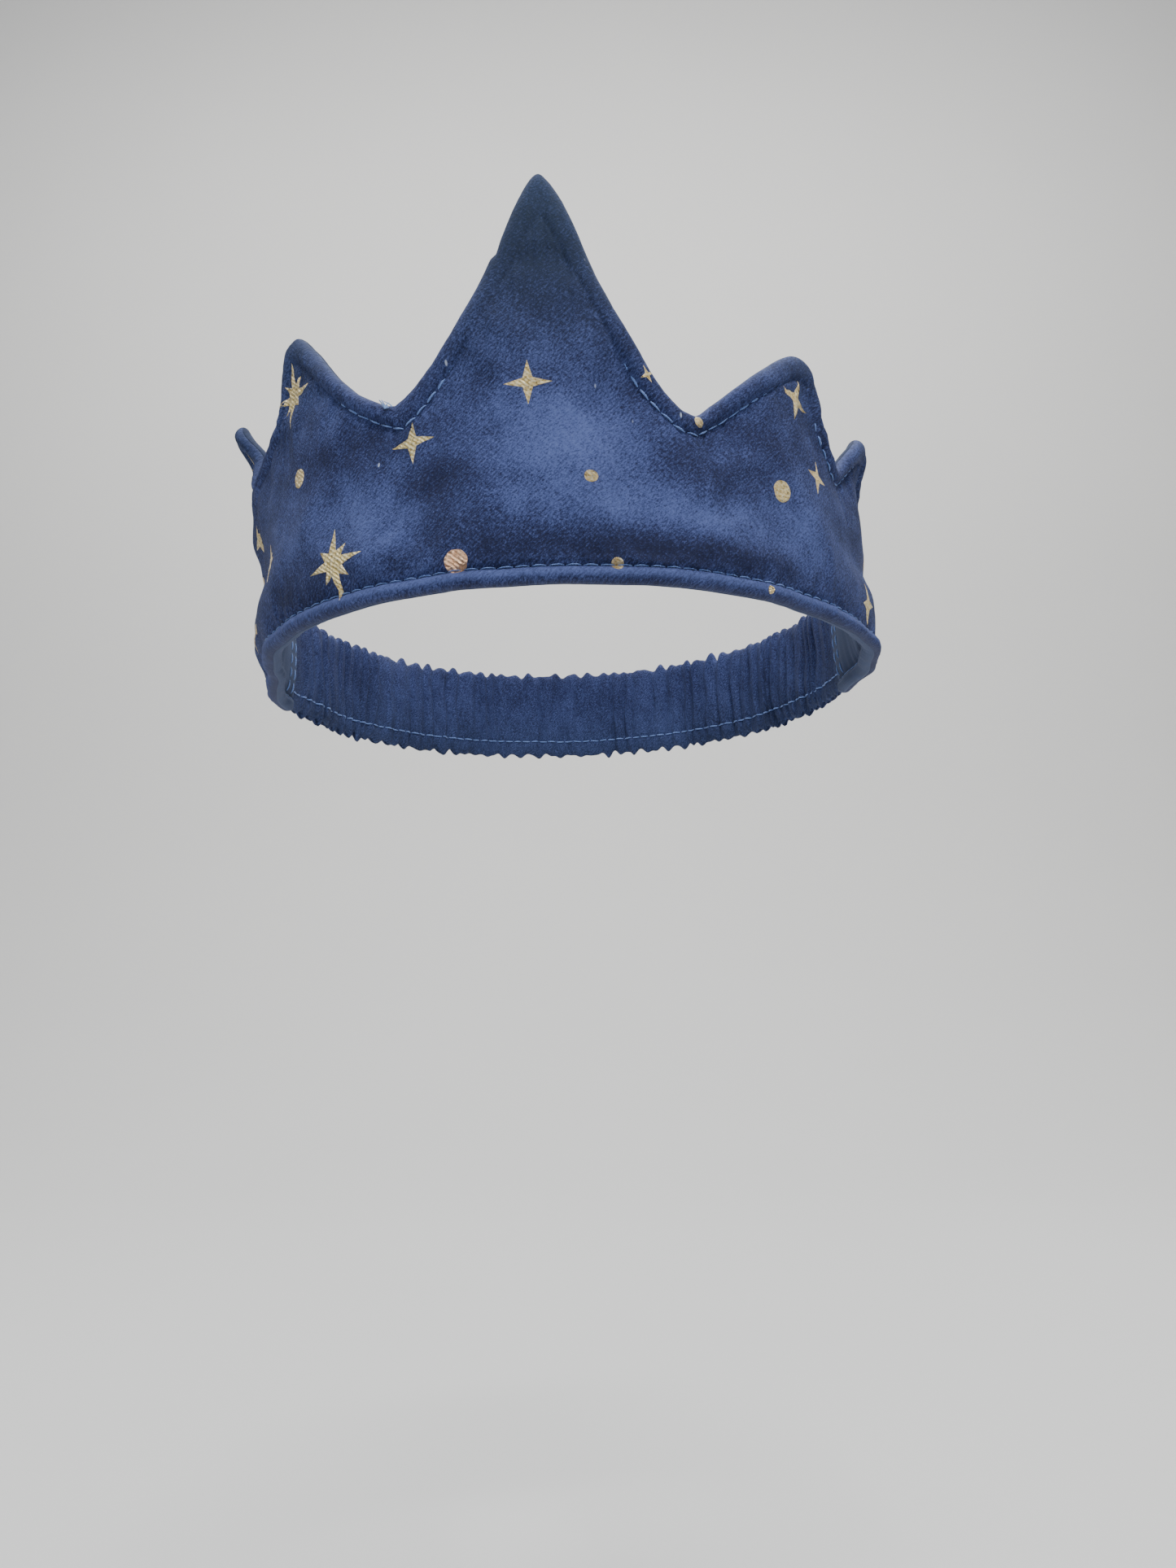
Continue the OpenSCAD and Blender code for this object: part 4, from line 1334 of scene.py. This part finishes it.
class CROWN_OT_foil(bpy.types.Operator):
    """Print the foil stars and dots on the cloth"""
    bl_idname = "crown.foil_print"
    bl_label = "Foil print"

    def execute(self, context):
        st = context.scene.crown_foil
        tree = print_tree()
        foil = printed_foil("gold_foil_print", st.gold, st.rose, context.scene.crown_cloth.navy_deep)
        lift = st.lift / MM
        shapes = {
            "four": plate_shape("four_point_shape", star_radius(4, 0.30), lift),
            "eight": plate_shape("eight_point_shape", star_radius(4, 0.335, 0.62), lift),
            "dot": plate_shape("dot_shape", ragged, lift, rings=4, spokes=40),
        }

        def put(name, shape, items, cloth, nodes, body="crown"):
            """Prints one kind of shape at every listed place."""
            half = [(s, h, w / 2, t / 2, turn, tone) for s, h, w, t, turn, tone in items]
            ob = grow(name, points_object(half), tree, {
                "Shape": shapes[shape], "Cloth": SEWN[cloth], "Material": foil, "Seed": 2})
            move_with(ob, body)
            if nodes:
                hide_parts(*nodes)
        put("foil_four_point_print", "four", FOUR_POINT, "outer", ["foil_four_point_stars"])
        put("foil_eight_point_print", "eight", EIGHT_POINT, "outer", ["foil_eight_point_stars"])
        dots = [(s, h, wide, wide, 0, tone) for s, h, wide, tone in DOTS]
        put("foil_dot_print", "dot", dots, "outer", ["foil_dots"])
        stars, dots = [], []
        for i in range(6):
            up = 15 + 6 * math.sin(math.radians(i * 130))
            stars.append((END_S + 22 + i * 42, up, 6.6, 7.0, 15 * i, 0.1))
        for i in range(7):
            up = 15 + 7 * math.sin(math.radians(i * 100 + 200))
            dots.append((END_S + 8 + i * 40, up, 3.0, 3.0, 0, 0.3))
        put("casing_star_print", "four", stars, "casing_out", ["casing_foil_print"], "both")
        put("casing_dot_print", "dot", dots, "casing_out", [], "both")
        for ob in shapes.values():
            bpy.data.objects.remove(ob)
        return {"FINISHED"}


BACK_A, BACK_B = END_S - CASING_IN, 2 * HALF_LEN - END_S + CASING_IN


def slack(at):
    """0 where the casing is sewn to the panel, rising to 1 where it hangs freely gathered."""
    return ease((np.minimum(at - BACK_A, BACK_B - at) - 5.0) / 14.0)


def sway(at, up):
    """The slow wander of the elastic and its casing in and out, in mm, at a share of the casing's height."""
    return slack(at) * 0.5 * ripple(81, at / 30.0, 0.5 * up)


class CROWN_OT_back(bpy.types.Operator):
    """Gather the casing over the elastic"""
    bl_idname = "crown.elastic_back"
    bl_label = "Elastic back"

    def execute(self, context):
        st = context.scene.crown_back
        stations, around = 620, 34
        s = np.linspace(BACK_A, BACK_B, stations)
        free = slack(s)
        # uneven gathers: the phase runs faster and slower along the band
        rng = np.random.default_rng(23)
        drawn = np.interp(s, np.linspace(BACK_A, BACK_B, 60), rng.uniform(-1, 1, 60))
        step = st.gather_pitch / MM * (1 + 0.55 * drawn)
        phase = np.concatenate([[0.0], np.cumsum(np.diff(s) / step[1:])]) * 2 * math.pi
        rise = 0.75 + 0.45 * np.interp(s, np.linspace(BACK_A, BACK_B, 75), rng.uniform(-1, 1, 75))

        def fold(v, seed):
            """Height of the gathers at share v up the casing."""
            lean = 1.1 * ripple(seed, s[None] / 19.0, v * 0.9)
            lean = lean + 0.5 * ripple(seed + 1, s[None] / 8.0, v * 1.7)
            wave = np.sin(phase[None] + lean)
            sharp = np.sign(wave) * np.abs(wave) ** 0.8
            minor = 0.34 * np.sin(phase[None] * 2.13 + 2.0 * lean + v * 3.0)
            return (sharp + minor) * rise[None] * free[None]

        ruffle = free * (0.7 * ripple(61, s / 5.5) + 0.5 * np.sin(phase + 0.6))
        ruffle_low = free * (0.6 * ripple(62, s / 5.0) + 0.5 * np.sin(phase + 2.2))
        v = (1 - np.cos(np.linspace(0, math.pi, around))) / 2
        v = (0.35 * np.linspace(0, 1, around) + 0.65 * v)[:, None]
        h = (CASING_LOW - ruffle_low)[None] + (CASING_HIGH + ruffle - CASING_LOW + ruffle_low)[None] * v
        across = np.clip(1 - (2 * v - 1) ** 8, 0, 1) ** 0.5
        hem = swell(h, HEM_H, 1.0) * 0.5 * free[None]
        mid = PANEL_T / 2
        size = st.gather / MM
        amp = size * (0.45 + 0.55 * across)
        out_fold, in_fold = fold(v, 71), fold(v, 72)
        # room for half the webbing and a layer of cloth, and more where the casing hangs free
        half_t, least = (0.96 + 0.34 * free)[None], 0.97 * across
        front_t = across * (half_t + amp * (0.45 + 0.55 * out_fold) * free[None]) - hem * 0.6
        back_t = across * (half_t + amp * 0.7 * (0.45 + 0.55 * in_fold) * free[None]) - hem * 0.6
        front_t, back_t = np.maximum(front_t, least), np.maximum(back_t, least)
        drift = sway(s[None], v)
        loop_d = mid + np.concatenate([-front_t - drift, (back_t - drift)[::-1]])
        loop_h = np.concatenate([h, h[::-1]])
        outer = place(np.broadcast_to(s, loop_d.shape), loop_h, loop_d)
        # the casing's own map follows the cloth over its gathers, and once round from bottom to bottom
        face = 29.0
        girth = np.concatenate([v * face, face + (1 - v[::-1]) * face])
        swing = np.hypot(np.diff(s), np.diff(out_fold[around // 2]) * size * 0.8)
        along = np.concatenate([[0.0], np.cumsum(swing)])
        uv = flat_uv(np.stack(np.broadcast_arrays(along[None] - 100.0, girth), -1))
        ob = closed_tube("gathered_casing", outer, uv, CASING_CLOTH)
        where = flat_uv(np.stack(np.broadcast_arrays(s[None], h), -1))
        keep("casing_out", outer[:around], where)
        keep("casing_in", outer[around:][::-1], where, flip=True)
        cl = context.scene.crown_cloth
        cotton = brushed_cotton("navy_casing_cotton", cl.navy_deep, cl.navy, cl.navy_light, 0.9, False)
        wear(ob, cotton)
        back_blend(ob)
        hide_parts("elastic_casing")
        # the webbing inside, at its stretched length, with its ends sewn into the panel
        low, high, rows, columns = 5.0, 25.0, 15, 200
        along = np.linspace(END_S - 12.0, 2 * HALF_LEN - END_S + 12.0, columns)
        up = np.broadcast_to(np.linspace(low, high, rows)[:, None], (rows, columns))
        rib = 0.05 * np.cos(np.linspace(0, 14 * math.pi, rows))[:, None]
        flat = np.stack([np.broadcast_to(along, up.shape), up], -1)
        swung = sway(along[None], (up - CASING_LOW) / (CASING_HIGH - CASING_LOW))
        strap = closed_sheet("elastic_strap", lay(flat, mid - 0.5 + rib - swung), flat_uv(flat), 0.001)
        wear(strap, woven_elastic("woven_elastic_band"))
        back_blend(strap)
        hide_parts("elastic_webbing")
        return {"FINISHED"}


def closed_tube(name, outer, uv, thickness):
    """A flattened tube of cloth from rows of points around it, open at both ends."""
    rows, cols = outer.shape[:2]
    du = np.gradient(outer, axis=1)
    dv = np.roll(outer, -1, 0) - np.roll(outer, 1, 0)
    normal = np.cross(du, dv)
    normal /= np.maximum(np.linalg.norm(normal, axis=-1, keepdims=True), 1e-12)
    inner = outer - normal * thickness
    m = rows * cols
    r, c = np.meshgrid(np.arange(rows), np.arange(cols - 1), indexing="ij")
    a, b = (r * cols + c).ravel(), (((r + 1) % rows) * cols + c).ravel()
    skin = np.stack([a, a + 1, b + 1, b], 1)
    i = np.arange(rows) * cols
    j = np.roll(i, -1)
    last_i, last_j = i + cols - 1, j + cols - 1
    caps = np.concatenate([np.stack([i, j, j + m, i + m], 1),
                           np.stack([last_i, last_i + m, last_j + m, last_j], 1)])
    faces = np.concatenate([skin, skin[:, ::-1] + m, caps])
    verts = np.concatenate([outer.reshape(-1, 3), inner.reshape(-1, 3)])
    ob = new_mesh_object(name, verts, faces, np.concatenate([uv.reshape(-1, 2)] * 2))
    turn_outwards(ob.data)
    return ob


def look_along(yaw, pitch, roll):
    """The turn of a camera that looks this far round from +Y, this far up, and rolls, in radians."""
    f = Vector((-math.sin(yaw) * math.cos(pitch), math.cos(yaw) * math.cos(pitch), math.sin(pitch)))
    r = f.cross(Vector((0, 0, 1))).normalized()
    u = r.cross(f)
    right = r * math.cos(roll) + u * math.sin(roll)
    up = u * math.cos(roll) - r * math.sin(roll)
    return Matrix((right, up, -f)).transposed()


class CROWN_OT_stage(bpy.types.Operator):
    """Set the pale floor, the soft lights and the camera"""
    bl_idname = "crown.stage"
    bl_label = "Stage"

    def execute(self, context):
        st = context.scene.crown_stage
        scene = context.scene
        z = -st.drop
        # a floor that curves up into a backdrop
        bend = 0.9
        profile = [(-2.6, z), (bend, z)]
        for a in np.linspace(0.1, math.pi / 2, 14):
            profile.append((bend + bend * math.sin(a), z + bend - bend * math.cos(a)))
        profile.append((2 * bend, z + 3.4))
        verts = [(x, y, h) for y, h in profile for x in (-3.2, 3.2)]
        faces = [(2 * i, 2 * i + 1, 2 * i + 3, 2 * i + 2) for i in range(len(profile) - 1)]
        floor = new_mesh_object("studio_floor", np.array(verts), np.array(faces))
        floor.data.materials.append(pale_stage("pale_paper", (0.80, 0.80, 0.79)))

        def lamp(name, spot, aim, size, power, colour):
            data = bpy.data.lights.new(name, "AREA")
            data.shape, data.size, data.size_y = "RECTANGLE", size[0], size[1]
            data.energy, data.color = power, colour
            ob = add_object(name, data)
            ob.location = spot
            ob.rotation_euler = (Vector(aim) - Vector(spot)).to_track_quat("-Z", "Y").to_euler()
        lamp("key_light", (0.14, -0.80, 1.25), (0, -0.05, 0.02), (0.5, 0.4), st.key, (1.0, 0.985, 0.96))
        lamp("rim_light", (0.1, 0.75, 1.0), (0, -0.02, 0.03), (0.9, 0.5), st.key * 0.2, (0.84, 0.92, 1.0))
        lamp("front_fill", (-0.1, -1.7, 0.25), (0, 0, 0.02), (1.4, 0.9), st.key * 0.2, (0.95, 0.98, 1.0))
        lamp("backdrop_light", (0, 0.5, 1.6), (0, 2.0, 0.2), (2.4, 0.8), st.key * 1.26, (1.0, 0.99, 0.97))
        world = bpy.data.worlds.new("pale_room")
        world.use_nodes = True
        back = world.node_tree.nodes["Background"]
        back.inputs["Color"].default_value = (0.86, 0.90, 1.0, 1.0)
        back.inputs["Strength"].default_value = 0.195
        scene.world = world
        data = bpy.data.cameras.new("camera")
        data.sensor_width, data.lens = 36.0, 26.06
        data.clip_start, data.clip_end = 0.01, 20.0
        cam = add_object("camera", data)
        spot = Vector((0.00763, -0.28971, -0.06780))
        cam.matrix_world = Matrix.Translation(spot) @ look_along(0.008, 0.1538, -0.031).to_4x4()
        scene.camera = cam
        return {"FINISHED"}


class CROWN_PT_panel(bpy.types.Panel):
    """Lists the pieces of the crown and their settings"""
    bl_idname = "CROWN_PT_panel"
    bl_label = "Fabric crown"
    bl_space_type = "VIEW_3D"
    bl_region_type = "UI"
    bl_category = "Crown"

    def draw(self, context):
        for key, group in GROUPS.items():
            box = self.layout.box()
            for prop in group.__annotations__:
                box.prop(getattr(context.scene, key), prop)
        for op in PIECES:
            self.layout.operator(op.bl_idname)


GROUPS = {
    "crown_cloth": CrownClothSettings,
    "crown_thread": CrownThreadSettings,
    "crown_foil": CrownFoilSettings,
    "crown_back": CrownBackSettings,
    "crown_stage": CrownStageSettings,
}
# in the order they are sewn
PIECES = (CROWN_OT_outer, CROWN_OT_lining, CROWN_OT_fleece, CROWN_OT_back, CROWN_OT_threads, CROWN_OT_foil,
          CROWN_OT_stage)
CLASSES = tuple(GROUPS.values()) + PIECES + (CROWN_PT_panel,)


def register():
    for c in CLASSES:
        bpy.utils.register_class(c)
    for key, group in GROUPS.items():
        setattr(bpy.types.Scene, key, bpy.props.PointerProperty(type=group))


def unregister():
    for key in GROUPS:
        delattr(bpy.types.Scene, key)
    for c in reversed(CLASSES):
        bpy.utils.unregister_class(c)


def main():
    register()
    for op in PIECES:
        module, name = op.bl_idname.split(".")
        getattr(getattr(bpy.ops, module), name)()
    for guide in ("outer", "lining", "casing_out", "casing_in"):
        bpy.data.objects.remove(SEWN.pop(guide))


if __name__ == "__main__":
    main()
